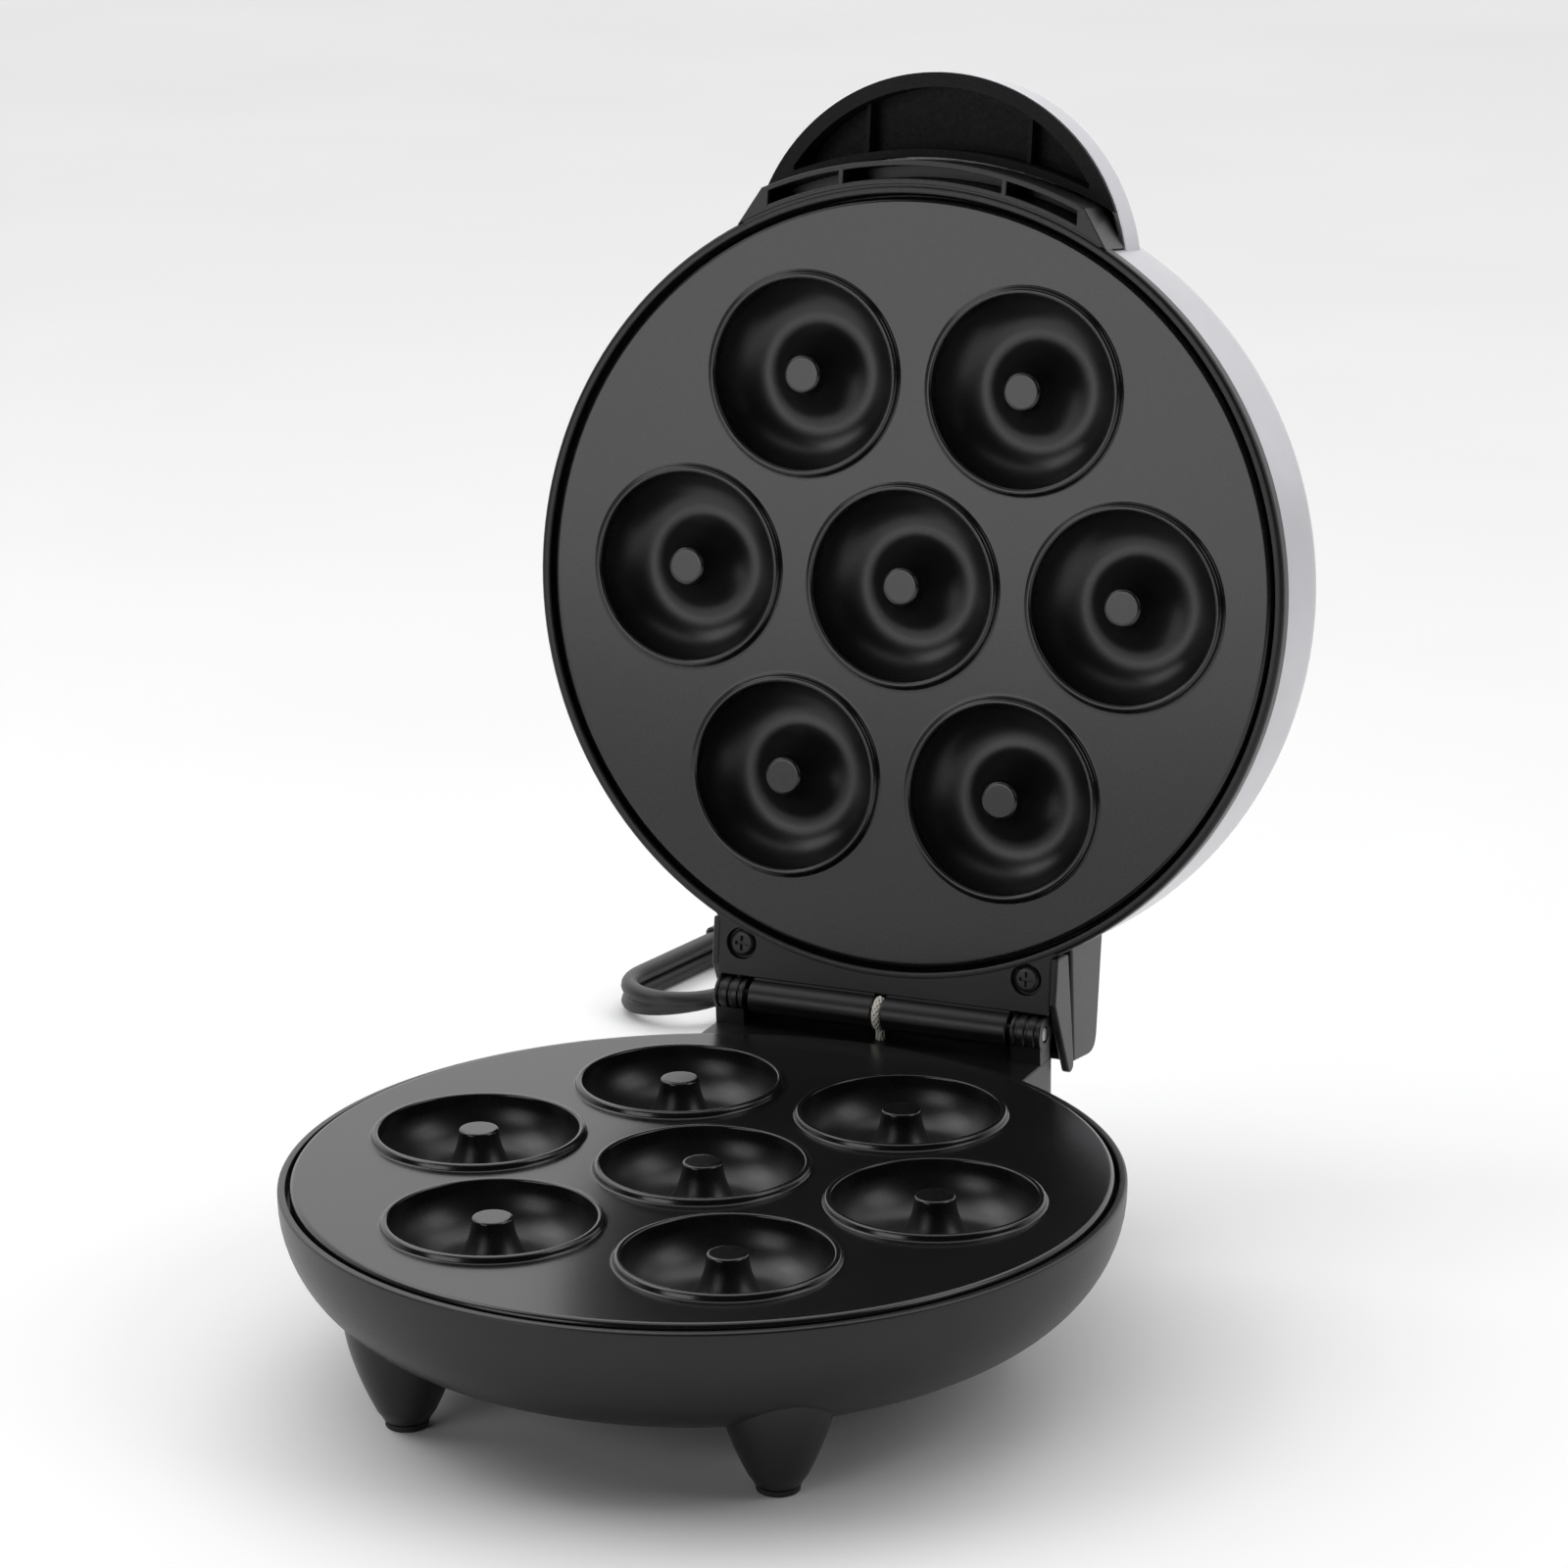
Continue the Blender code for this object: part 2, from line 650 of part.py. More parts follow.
bowl_cutter = helper("cut_bowl", bowl_solid(FIT_GAP))
for side, sign in (("left", -1), ("right", 1)):
    front = (
        sign * LEG_CIRCLE * math.cos(LEG_ANGLE),
        -LEG_CIRCLE * math.sin(LEG_ANGLE),
    )
    leg = make(f"front_leg_{side}", foot(front, leg_profile()), BLACK)
    boolean(leg, "DIFFERENCE", bowl_cutter)
    make(f"front_pad_{side}", pad(front), RUBBER)

    rear = (sign * REAR_FOOT_X, PEDESTAL_BACK_Y - REAR_FOOT_INSET)
    low = TABLE + PAD_HEIGHT + FIT_GAP
    high = PEDESTAL_LOW - FIT_GAP
    side_profile = [(LEG_TIP_RADIUS, low), (REAR_FOOT_RADIUS, high)]
    make(f"rear_foot_{side}", foot(rear, side_profile), BLACK)
    make(f"rear_pad_{side}", pad(rear), RUBBER)


# ---------------------------------------------------------------- hinge pedestal
def pedestal_outline(inset):
    half = PEDESTAL_HALF_WIDTH - inset
    back = PEDESTAL_BACK_Y - inset
    corner = PEDESTAL_CORNER - inset
    front = HOUSING_FLAT_RADIUS + 4 * PEDESTAL_WALL - inset
    outline = [(-half, front), (half, front)]
    outline += arc((half - corner, back - corner), corner, 0.0, math.pi / 2, 3)
    outline += arc((-half + corner, back - corner), corner, math.pi / 2, math.pi, 3)
    return outline


pedestal = make(
    "hinge_pedestal", prism(pedestal_outline(0.0), PEDESTAL_LOW, PEDESTAL_TOP), BLACK
)
hollow = helper(
    "cut_pedestal_hollow",
    prism(
        pedestal_outline(PEDESTAL_WALL),
        PEDESTAL_LOW + PEDESTAL_WALL,
        PEDESTAL_TOP - PEDESTAL_WALL,
    ),
)
RELIEF_Z = TABLE + CORD_EXIT_HEIGHT


def relief_axis(bm):
    """Lays an upright lathe along +Y, on the cord's exit."""
    turn = Matrix.Rotation(-math.pi / 2, 4, "X")
    place = Matrix.Translation((CORD_EXIT_X, PEDESTAL_BACK_Y, RELIEF_Z))
    bmesh.ops.transform(bm, matrix=place @ turn, verts=bm.verts)
    return bm


relief_hole = helper(
    "cut_relief_hole",
    relief_axis(
        cylinder(RELIEF_NECK_RADIUS + FIT_GAP, -3 * PEDESTAL_WALL, PEDESTAL_WALL, sides=MEDIUM)
    ),
)
sleeve_hole = helper(
    "cut_sleeve_hole",
    cylinder(
        TUBE_INNER_X,
        PEDESTAL_TOP - 2 * PEDESTAL_WALL,
        PEDESTAL_TOP + PEDESTAL_WALL,
        (0.0, HINGE_Y),
    ),
)
boolean(pedestal, "DIFFERENCE", bowl_cutter, hollow, relief_hole, sleeve_hole)

relief_profile = [
    (0.0, -PEDESTAL_WALL - RELIEF_FLANGE),
    (RELIEF_ROOT_RADIUS, -PEDESTAL_WALL - RELIEF_FLANGE),
    (RELIEF_ROOT_RADIUS, -PEDESTAL_WALL - FIT_GAP),
    (RELIEF_NECK_RADIUS, -PEDESTAL_WALL - FIT_GAP),
    (RELIEF_NECK_RADIUS, FIT_GAP),
    (RELIEF_ROOT_RADIUS, FIT_GAP),
    (RELIEF_ROOT_RADIUS, RELIEF_FLANGE),
    (RELIEF_TIP_RADIUS, RELIEF_LENGTH),
    (0.0, RELIEF_LENGTH),
]
make("strain_relief", relief_axis(lathe(relief_profile, MEDIUM)), RUBBER)


# ---------------------------------------------------------------- hinge
def pin_bore():
    reach = PEDESTAL_HALF_WIDTH + FIT_GAP
    return along_x(cylinder(BORE_RADIUS, -reach, reach, sides=MEDIUM), HINGE_Y, HINGE_Z)


for side, sign in (("left", -1), ("right", 1)):
    ends = sorted((sign * KNUCKLE_INNER_X, sign * PEDESTAL_HALF_WIDTH))
    web = block(
        (ends[0], HINGE_Y - KNUCKLE_WEB_DEPTH / 2, PEDESTAL_TOP + FIT_GAP),
        (ends[1], HINGE_Y + KNUCKLE_WEB_DEPTH / 2, HINGE_Z),
    )
    knuckle = make(f"hinge_knuckle_{side}", web, BLACK)
    barrel = along_x(
        cylinder(BARREL_RADIUS, ends[0], ends[1], sides=MEDIUM), HINGE_Y, HINGE_Z
    )
    boolean(knuckle, "UNION", helper(f"add_barrel_{side}", barrel))
    boolean(knuckle, "DIFFERENCE", helper(f"cut_bore_{side}", pin_bore()))

pin_end = PEDESTAL_HALF_WIDTH - FIT_GAP
make(
    "hinge_pin",
    along_x(cylinder(PIN_RADIUS, -pin_end, pin_end, sides=MEDIUM), HINGE_Y, HINGE_Z),
    STEEL,
)


def tube(name, points, radius, finish, parent, resolution=2):
    """A round tube with closed ends along a list of points."""
    curve = bpy.data.curves.new(name, "CURVE")
    curve.dimensions = "3D"
    curve.bevel_depth = radius
    curve.bevel_resolution = resolution
    curve.use_fill_caps = True
    spline = curve.splines.new("POLY")
    spline.points.add(len(points) - 1)
    shift = Vector((0.0, -HINGE_Y, -HINGE_Z)) if parent is HINGE else Vector()
    for point, place in zip(spline.points, points):
        point.co = (*(Vector(place) + shift), 1.0)
    curve.materials.append(finish)
    made = bpy.data.objects.new(name, curve)
    made.parent = parent
    bpy.context.scene.collection.objects.link(made)
    return made


SLEEVE_RADIUS = 0.0011
SLEEVE_BEND = PIN_RADIUS + 2 * FIT_GAP + SLEEVE_RADIUS
sleeve = [(0.0, HINGE_Y, PEDESTAL_TOP - PEDESTAL_WALL)]
sleeve += [
    (0.0, y, z)
    for y, z in arc(
        (HINGE_Y, HINGE_Z), SLEEVE_BEND, math.radians(-100), math.radians(-270), 10
    )
]
tube("wire_sleeve", sleeve, SLEEVE_RADIUS, BRAID, BASE)


# ---------------------------------------------------------------- inside the base and the lid
def heater_route():
    """Most of a circle round the middle mould, its two ends turned down."""
    height = -PLATE_THICKNESS - FIT_GAP - HEATER_RADIUS
    circle = arc((0, 0), HEATER_CIRCLE, math.radians(20), math.radians(340), 18)
    ends = []
    for x, y in (circle[0], circle[-1]):
        bend = (x * HEATER_TURN_IN, y * HEATER_TURN_IN, height - HEATER_RADIUS)
        ends.append([(bend[0], bend[1], height - HEATER_TAIL), bend])
    return ends[0] + [(x, y, height) for x, y in circle] + ends[1][::-1]


def turned_over(points):
    return [(x, y, PLATE_SPACING - z) for x, y, z in points]


def reflector():
    low = -REFLECTOR_DEPTH - REFLECTOR_THICKNESS
    profile = [
        (REFLECTOR_INNER_RADIUS, low),
        (REFLECTOR_OUTER_RADIUS, low),
        (REFLECTOR_OUTER_RADIUS, -REFLECTOR_DEPTH),
        (REFLECTOR_INNER_RADIUS, -REFLECTOR_DEPTH),
    ]
    return lathe(profile, MEDIUM)


tube("lower_heating_element", heater_route(), HEATER_RADIUS, STEEL, BASE)
tube("upper_heating_element", turned_over(heater_route()), HEATER_RADIUS, STEEL, HINGE)
make("lower_reflector", reflector(), SHEET)
make("upper_reflector", mirrored_down(reflector()), SHEET, HINGE)

CUP_LOW = -(TROUGH_DEPTH + PLATE_THICKNESS) - FIT_GAP
THERMOSTAT_RADIUS = 0.0080
THERMOSTAT_HEIGHT = 0.0070
make(
    "thermostat",
    cylinder(THERMOSTAT_RADIUS, CUP_LOW - THERMOSTAT_HEIGHT, CUP_LOW, sides=MEDIUM),
    BAKELITE,
)
FUSE_RADIUS = 0.0020
FUSE_HALF_LENGTH = 0.0080
fuse = along_x(
    cylinder(FUSE_RADIUS, -FUSE_HALF_LENGTH, FUSE_HALF_LENGTH), 0.0, CUP_LOW - FUSE_RADIUS
)
make("thermal_fuse", mirrored_down(fuse), SHEET, HINGE)
TERMINAL_HALF_WIDTH = 0.0150
TERMINAL_DEPTH = 0.0110
TERMINAL_HEIGHT = 0.0090
terminal_low = COVER_FACE + FIT_GAP
make(
    "terminal_block",
    block(
        (-TERMINAL_HALF_WIDTH, TERMINAL_DEPTH, terminal_low),
        (TERMINAL_HALF_WIDTH, 2 * TERMINAL_DEPTH, terminal_low + TERMINAL_HEIGHT),
    ),
    BAKELITE,
)


# ---------------------------------------------------------------- lid frame
def frame_ring():
    """The ring that carries the upper plate, with the ledge that the plate bears on."""
    reveal = PLATE_RADIUS + FRAME_REVEAL
    snug = PLATE_RADIUS + 1.5 * FIT_GAP
    step = FRAME_TOP - FRAME_STEP
    inside_cover = COVER_RADIUS - COVER_WALL - FIT_GAP
    ledge_low = PLATE_SPACING - LEDGE_TOP
    ledge_high = ledge_low + LEDGE_THICKNESS
    return lathe(
        [
            (reveal, FRAME_LOW),
            (FRAME_RADIUS, FRAME_LOW),
            (FRAME_RADIUS, FRAME_TOP),
            (inside_cover, FRAME_TOP),
            (inside_cover, ledge_high),
            (LEDGE_INNER_RADIUS, ledge_high),
            (LEDGE_INNER_RADIUS, ledge_low),
            (snug, ledge_low),
            (snug, step),
            (reveal, step - FRAME_STEP_SLOPE),
        ]
    )


RING_MIDDLE = (PLATE_RADIUS + FRAME_REVEAL + FRAME_RADIUS) / 2


def rear_plate():
    """The flat piece behind the ring, as far as the hinge tubes."""
    half = REAR_PLATE_HALF_WIDTH
    swing = math.asin(half / RING_MIDDLE)
    outline = arc((0, 0), RING_MIDDLE, math.pi / 2 + swing, math.pi / 2 - swing, 12)
    outline += [(half, REAR_PLATE_BACK_Y), (-half, REAR_PLATE_BACK_Y)]
    return prism(outline, FRAME_LOW, FRAME_LOW + REAR_PLATE_THICKNESS)


def hinge_tube(sign):
    ends = sorted((sign * TUBE_INNER_X, sign * TUBE_OUTER_X))
    return along_x(
        cylinder(BARREL_RADIUS, ends[0], ends[1], sides=MEDIUM), HINGE_Y, HINGE_Z
    )


def tube_web(sign):
    ends = sorted((sign * TUBE_INNER_X, sign * TUBE_OUTER_X))
    roof = FRAME_LOW + REAR_PLATE_THICKNESS
    return block(
        (ends[0] + LAP, REAR_PLATE_BACK_Y - REAR_PLATE_THICKNESS, FRAME_LOW + LAP),
        (ends[1] - LAP, HINGE_Y - LAP, roof - LAP),
    )


def cheek(sign):
    """A side plate that runs back from the ring past the hinge, to a rounded hook."""
    inner = REAR_PLATE_HALF_WIDTH - LAP
    outer = REAR_PLATE_HALF_WIDTH + CHEEK_THICKNESS
    front = math.sqrt(FRAME_RADIUS**2 - REAR_PLATE_HALF_WIDTH**2)
    low = FRAME_LOW + LAP
    tip = (REAR_COVER_BACK_Y, REAR_COVER_EDGE_BACK - CHEEK_TIP_DROP)
    outline = [(front, low), (REAR_PLATE_BACK_Y - REAR_PLATE_THICKNESS, low)]
    outline += arc(tip, CHEEK_TIP_RADIUS, math.radians(-50), math.radians(110), 4)
    outline += [(front, REAR_COVER_EDGE_FRONT - CHEEK_THICKNESS)]
    ends = sorted((sign * inner, sign * outer))
    return sideways(outline, ends[0], ends[1])


def sector(inner, outer, half_angle, low, high, steps=12):
    """A curved bar round the front of the lid."""
    front = -math.pi / 2
    outline = arc((0, 0), outer, front - half_angle, front + half_angle, steps)
    outline += arc((0, 0), inner, front + half_angle, front - half_angle, steps)
    return prism(outline, low, high)


def band():
    """The curved band below the handle, its ends cut back to the ring."""
    front = -math.pi / 2
    inner = COVER_RADIUS + BAND_GAP
    outline = arc((0, 0), BAND_RADIUS, front - BAND_HALF_ANGLE, front + BAND_HALF_ANGLE, 12)
    outline += arc((0, 0), inner, front + BAND_END_ANGLE, front - BAND_END_ANGLE, 14)
    return prism(outline, FRAME_LOW, BAND_TOP)


def split_by_ribs(outline_at, low, high):
    """Three pockets between the ribs; outline_at gives the outline between two x."""
    half = BAND_WALL / 2
    spans = ((-1.0, -RIB_X - half), (-RIB_X + half, RIB_X - half), (RIB_X + half, 1.0))
    return merged(*[prism(outline_at(left, right), low, high) for left, right in spans])


def band_pocket(left, right):
    inner = COVER_RADIUS + BAND_GAP + BAND_WALL
    outer = BAND_RADIUS - BAND_WALL
    reach = outer * math.sin(BAND_HALF_ANGLE) - BAND_WALL
    left = max(left, -reach)
    right = min(right, reach)

    def across(radius, start, stop):
        return arc((0, 0), radius, -math.acos(start / radius), -math.acos(stop / radius), 6)

    return across(outer, left, right) + across(inner, right, left)


lid_frame = make("lid_frame", frame_ring(), BLACK, HINGE)
boolean(
    lid_frame,
    "UNION",
    helper("add_rear_plate", rear_plate(), HINGE),
    helper("add_web_left", tube_web(-1), HINGE),
    helper("add_web_right", tube_web(1), HINGE),
    helper("add_tube_left", hinge_tube(-1), HINGE),
    helper("add_tube_right", hinge_tube(1), HINGE),
    helper("add_cheek_left", cheek(-1), HINGE),
    helper("add_cheek_right", cheek(1), HINGE),
    helper("add_band", band(), HINGE),
    helper(
        "add_band_root",
        sector(
            RING_MIDDLE,
            COVER_RADIUS + BAND_WALL,
            BAND_HALF_ANGLE,
            FRAME_LOW + LAP,
            FRAME_TOP - LAP,
        ),
        HINGE,
    ),
)
HINGE_SCREW_FLOOR = FRAME_LOW + HINGE_SCREW_RECESS
screw_recesses = []
for sign in (-1, 1):
    centre = (sign * HINGE_SCREW_X, HINGE_SCREW_Y)
    screw_recesses.append(
        lathe(
            [
                (0.0, FRAME_LOW - LAP),
                (HINGE_SCREW_HEAD_RADIUS + FIT_GAP, FRAME_LOW - LAP),
                (HINGE_SCREW_HEAD_RADIUS + FIT_GAP, HINGE_SCREW_FLOOR),
                (SCREW_RADIUS + FIT_GAP, HINGE_SCREW_FLOOR),
                (SCREW_RADIUS + FIT_GAP, FRAME_TOP),
                (0.0, FRAME_TOP),
            ],
            MEDIUM,
            centre,
        )
    )
boolean(
    lid_frame,
    "DIFFERENCE",
    helper("cut_lid_bore", pin_bore(), HINGE),
    helper("cut_screw_recesses", merged(*screw_recesses), HINGE),
    helper(
        "cut_band_pockets",
        split_by_ribs(band_pocket, FRAME_LOW - LAP, BAND_TOP - BAND_WALL),
        HINGE,
    ),
    helper("cut_upper_ledge_holes", mirrored_down(ledge_holes()), HINGE),
)
for side, sign in (("left", -1), ("right", 1)):
    centre = (sign * HINGE_SCREW_X, HINGE_SCREW_Y)
    head_low = HINGE_SCREW_FLOOR - FIT_GAP - SCREW_HEAD_HEIGHT
    bm = screw(head_low, HINGE_SCREW_HEAD_RADIUS, FRAME_TOP - FIT_GAP, centre)
    make(f"hinge_screw_{side}", bm, STEEL, HINGE)


# ---------------------------------------------------------------- lid cover and handle
def dome(offset):
    """The cover's outline from its lower edge to its middle, moved outwards by offset."""
    shoulder = COVER_TOP - COVER_SHOULDER
    bend = arc(
        (COVER_RADIUS - COVER_SHOULDER, shoulder),
        COVER_SHOULDER + offset,
        0.0,
        math.pi / 2,
        5,
    )
    return [(COVER_RADIUS + offset, COVER_LOW)] + bend + [(0.0, COVER_TOP + offset)]


def circles_meet(radius, ring_radius):
    """The y at which the handle's circle crosses a circle round the lid."""
    return (ring_radius**2 + HANDLE_CENTRE_Y**2 - radius**2) / (2 * HANDLE_CENTRE_Y)


def crescent(radius, ring_radius, steps=14):
    """The half-moon between the handle's circle and a circle round the lid."""
    meet_y = circles_meet(radius, ring_radius)
    swing = math.acos((HANDLE_CENTRE_Y - meet_y) / radius)
    turn = math.acos(-meet_y / ring_radius)
    down = -math.pi / 2
    outline = arc((0, HANDLE_CENTRE_Y), radius, down - swing, down + swing, steps)
    back = arc((0, 0), ring_radius, down + turn, down - turn, steps)
    return outline + back[1:-1]


lid_cover = make("lid_cover", lathe(dome(0.0) + dome(-COVER_WALL)[::-1]), SILVER, HINGE)
skin_radius = HANDLE_RADIUS + FIT_GAP + HANDLE_SKIN
skin_top = HANDLE_TOP + FIT_GAP + HANDLE_SKIN
skin_low = HANDLE_LOW + HANDLE_RIM
boolean(
    lid_cover,
    "UNION",
    helper(
        "add_handle_skin",
        prism(crescent(skin_radius, COVER_RADIUS - COVER_WALL + LAP), skin_low, skin_top),
        HINGE,
    ),
)
lamps = [(-LAMP_X, LAMP_Y), (LAMP_X, LAMP_Y)]
lamp_holes = merged(
    *[
        cylinder(LAMP_RADIUS + FIT_GAP, COVER_TOP - 3 * COVER_WALL, COVER_TOP + COVER_WALL, place)
        for place in lamps
    ]
)
boolean(
    lid_cover,
    "DIFFERENCE",
    helper(
        "cut_handle_skin",
        prism(
            crescent(HANDLE_RADIUS + FIT_GAP, COVER_RADIUS + HANDLE_SKIN),
            skin_low - HANDLE_RIM,
            skin_top - HANDLE_SKIN,
        ),
        HINGE,
    ),
    helper("cut_lamp_holes", lamp_holes, HINGE),
)
for name, finish, place in (("power_light", RED, lamps[0]), ("ready_light", GREEN, lamps[1])):
    flange = COVER_TOP - COVER_WALL - FIT_GAP
    profile = [
        (0.0, flange - COVER_WALL),
        (LAMP_RADIUS + COVER_WALL, flange - COVER_WALL),
        (LAMP_RADIUS + COVER_WALL, flange),
        (LAMP_RADIUS, flange),
        (LAMP_RADIUS, COVER_TOP + LAMP_RISE / 2),
        (LAMP_RADIUS * 0.7, COVER_TOP + LAMP_RISE),
        (0.0, COVER_TOP + LAMP_RISE),
    ]
    make(name, lathe(profile, SMALL, place), finish, HINGE)

TRAY_RING = BAND_RADIUS + 2 * FIT_GAP


def handle_pocket(left, right):
    """The hollow of the handle between two x, inside its walls."""
    radius = HANDLE_RADIUS - HANDLE_WALL
    ring = TRAY_RING + HANDLE_WALL
    reach = math.sqrt(ring**2 - circles_meet(radius, ring) ** 2) - HANDLE_WALL / 2
    left = max(left, -reach)
    right = min(right, reach)

    def across(centre_y, circle, start, stop):
        first = -math.acos(start / circle)
        last = -math.acos(stop / circle)
        return arc((0, centre_y), circle, first, last, 8)

    outline = across(HANDLE_CENTRE_Y, radius, left, right)
    return outline + across(0.0, ring, right, left)


handle = make(
    "handle",
    prism(crescent(HANDLE_RADIUS, TRAY_RING), HANDLE_LOW, HANDLE_TOP),
    BLACK,
    HINGE,
)
boolean(
    handle,
    "UNION",
    helper(
        "add_handle_flange",
        prism(crescent(skin_radius, TRAY_RING), HANDLE_LOW, skin_low - FIT_GAP),
        HINGE,
    ),
)
boolean(
    handle,
    "DIFFERENCE",
    helper(
        "cut_handle_pockets",
        split_by_ribs(handle_pocket, HANDLE_LOW - HANDLE_WALL, HANDLE_TOP - HANDLE_WALL),
        HINGE,
    ),
    helper(
        "cut_handle_mouth",
        prism(handle_pocket(-1.0, 1.0), HANDLE_LOW - LAP, HANDLE_LOW + HANDLE_RIB_DROP),
        HINGE,
    ),
)


# ---------------------------------------------------------------- rear cover of the lid
def rear_cover_outline(inset, below):
    """Side view of the box over the hinge; below lowers its open edge."""
    back = REAR_COVER_BACK_Y - inset
    top = REAR_COVER_TOP - inset
    front = REAR_COVER_FRONT_Y
    corner = REAR_COVER_CORNER - inset
    outline = [(front, REAR_COVER_EDGE_FRONT - below), (back, REAR_COVER_EDGE_BACK - below)]
    outline += arc((back - corner, top - corner), corner, 0.0, math.pi / 2, 3)
    return outline + [(front, top)]


rear_cover = make(
    "rear_cover",
    sideways(rear_cover_outline(0.0, 0.0), -REAR_COVER_HALF_WIDTH, REAR_COVER_HALF_WIDTH),
    BLACK,
    HINGE,
)
inside = REAR_COVER_HALF_WIDTH - REAR_COVER_WALL
dome_solid = [(0.0, FRAME_LOW)] + [(COVER_RADIUS + FIT_GAP, FRAME_LOW)] + dome(FIT_GAP)
boolean(
    rear_cover,
    "DIFFERENCE",
    helper(
        "cut_rear_cover_hollow",
        sideways(
            rear_cover_outline(REAR_COVER_WALL, REAR_COVER_CORNER), -inside, inside
        ),
        HINGE,
    ),
    helper("cut_dome", lathe(dome_solid), HINGE),
)


# ---------------------------------------------------------------- cord
CORD_RADIUS = CORD_DIAMETER / 2
CORD_LOW = TABLE + CORD_RADIUS
HANK_ALONG = Vector((math.cos(HANK_ANGLE), math.sin(HANK_ANGLE), 0.0))
HANK_LEFT = Vector((-math.sin(HANK_ANGLE), math.cos(HANK_ANGLE), 0.0))
HANK_NEAR = Vector((HANK_NEAR_X, HANK_NEAR_Y, TABLE))


def smooth_route(points, spacing):
    """Points at an even spacing on one smooth curve through the given points."""
    knots = [Vector(point) for point in points]
    knots = [2 * knots[0] - knots[1]] + knots + [2 * knots[-1] - knots[-2]]
    fine = [knots[1]]
    for before, start, stop, after in zip(knots, knots[1:], knots[2:], knots[3:]):
        for k in range(1, 21):
            t = k / 20
            blend = (2 * start) + (stop - before) * t
            blend += (2 * before - 5 * start + 4 * stop - after) * t**2
            blend += (3 * start - before - 3 * stop + after) * t**3
            fine.append(blend / 2)
    route = [fine[0]]
    travelled = 0.0
    for start, stop in zip(fine, fine[1:]):
        travelled += (stop - start).length
        if travelled >= spacing:
            route.append(stop)
            travelled = 0.0
    if travelled < spacing / 2:
        route.pop()
    return route + [fine[-1]]


# Straight out of the strain relief, down to the table, then round to the hank.
LEAD = [
    (CORD_EXIT_X, CORD_START_Y + 0.0005, RELIEF_Z),
    (CORD_EXIT_X, CORD_START_Y + 0.0090, RELIEF_Z),
    (-0.0285, CORD_START_Y + 0.0190, RELIEF_Z - 0.0042),
    (-0.0305, CORD_START_Y + 0.0290, RELIEF_Z - 0.0102),
    (-0.0360, CORD_START_Y + 0.0390, RELIEF_Z - 0.0160),
    (-0.0445, CORD_START_Y + 0.0475, CORD_LOW + 0.0003),
    (-0.0550, CORD_START_Y + 0.0530, CORD_LOW),
    (-0.0670, CORD_START_Y + 0.0565, CORD_LOW),
    (-0.0785, CORD_START_Y + 0.0600, CORD_LOW),
    (-0.0890, CORD_START_Y + 0.0655, CORD_LOW),
    (-0.0970, CORD_START_Y + 0.0730, CORD_LOW),
    (-0.1020, CORD_START_Y + 0.0810, CORD_LOW),
]
# Off the top turn of the hank and down beside it to the plug.
TAIL = [
    (-0.0935, CORD_START_Y + 0.1130, CORD_LOW + 0.0046),
    (-0.0872, CORD_START_Y + 0.1205, CORD_LOW + 0.0030),
    (-0.0815, CORD_START_Y + 0.1280, CORD_LOW + 0.0013),
    (-0.0772, CORD_START_Y + 0.1360, CORD_LOW + 0.0003),
    (-0.0752, CORD_START_Y + 0.1430, CORD_LOW),
    (-0.0750, CORD_START_Y + 0.1490, CORD_LOW),
]
tube("cord_lead", smooth_route(LEAD, 0.0130), CORD_RADIUS, CORD, BASE)
tube("cord_tail", smooth_route(TAIL, 0.0130), CORD_RADIUS, CORD, BASE)


def hank_outline(half_width):
    outline = []
    for middle, start in ((HANK_NEAR, math.pi), (HANK_NEAR + HANK_RUN * HANK_ALONG, 0.0)):
        turn = start + HANK_ANGLE - math.pi / 2
        outline += arc(middle.xy, half_width, turn, turn + math.pi, 12)
    return outline


HANK_HALF_WIDTH = HANK_FOLD_RADIUS + CORD_RADIUS
HANK_HEIGHT = HANK_TURNS * CORD_DIAMETER
make("cord_hank", prism(hank_outline(HANK_HALF_WIDTH), TABLE, TABLE + HANK_HEIGHT), CORD)

TIE_WIDTH = 0.0060
TIE_THICKNESS = 0.0008


def hank_frame(bm, distance):
    """Moves a piece drawn along +Y at the origin to a distance along the hank."""
    place = Matrix.Translation(HANK_NEAR + distance * HANK_ALONG)
    turn = Matrix.Rotation(HANK_ANGLE - math.pi / 2, 4, "Z")
    bmesh.ops.transform(bm, matrix=place @ turn, verts=bm.verts)
    return bm


def tie():
    """A strap bent over the hank, open where it rests on the table."""
    half = HANK_HALF_WIDTH + FIT_GAP
    top = HANK_HEIGHT + FIT_GAP
    outer = half + TIE_THICKNESS
    roof = top + TIE_THICKNESS
    corner = CORD_RADIUS * 0.3
    outline = [(outer, 0.0), (outer, roof - corner), (outer - corner, roof)]
    outline += [(-outer + corner, roof), (-outer, roof - corner), (-outer, 0.0)]
    outline += [(-half, 0.0), (-half, top), (half, top), (half, 0.0)]
    bm = prism(outline, -TIE_WIDTH / 2, TIE_WIDTH / 2)
    stand = Matrix.Rotation(math.pi / 2, 4, "X")
    bmesh.ops.transform(bm, matrix=stand, verts=bm.verts)
    return hank_frame(bm, HANK_RUN / 2)


make("cord_tie", tie(), BLACK)

PLUG_FACE = Vector(TAIL[-1]).to_2d()


def plug_place(bm):
    """Lays a piece drawn along +Y at the origin on the table, where the cord ends."""
    place = Matrix.Translation((PLUG_FACE.x, PLUG_FACE.y + 2 * FIT_GAP, TABLE))
    bmesh.ops.transform(bm, matrix=place, verts=bm.verts)
    return bm


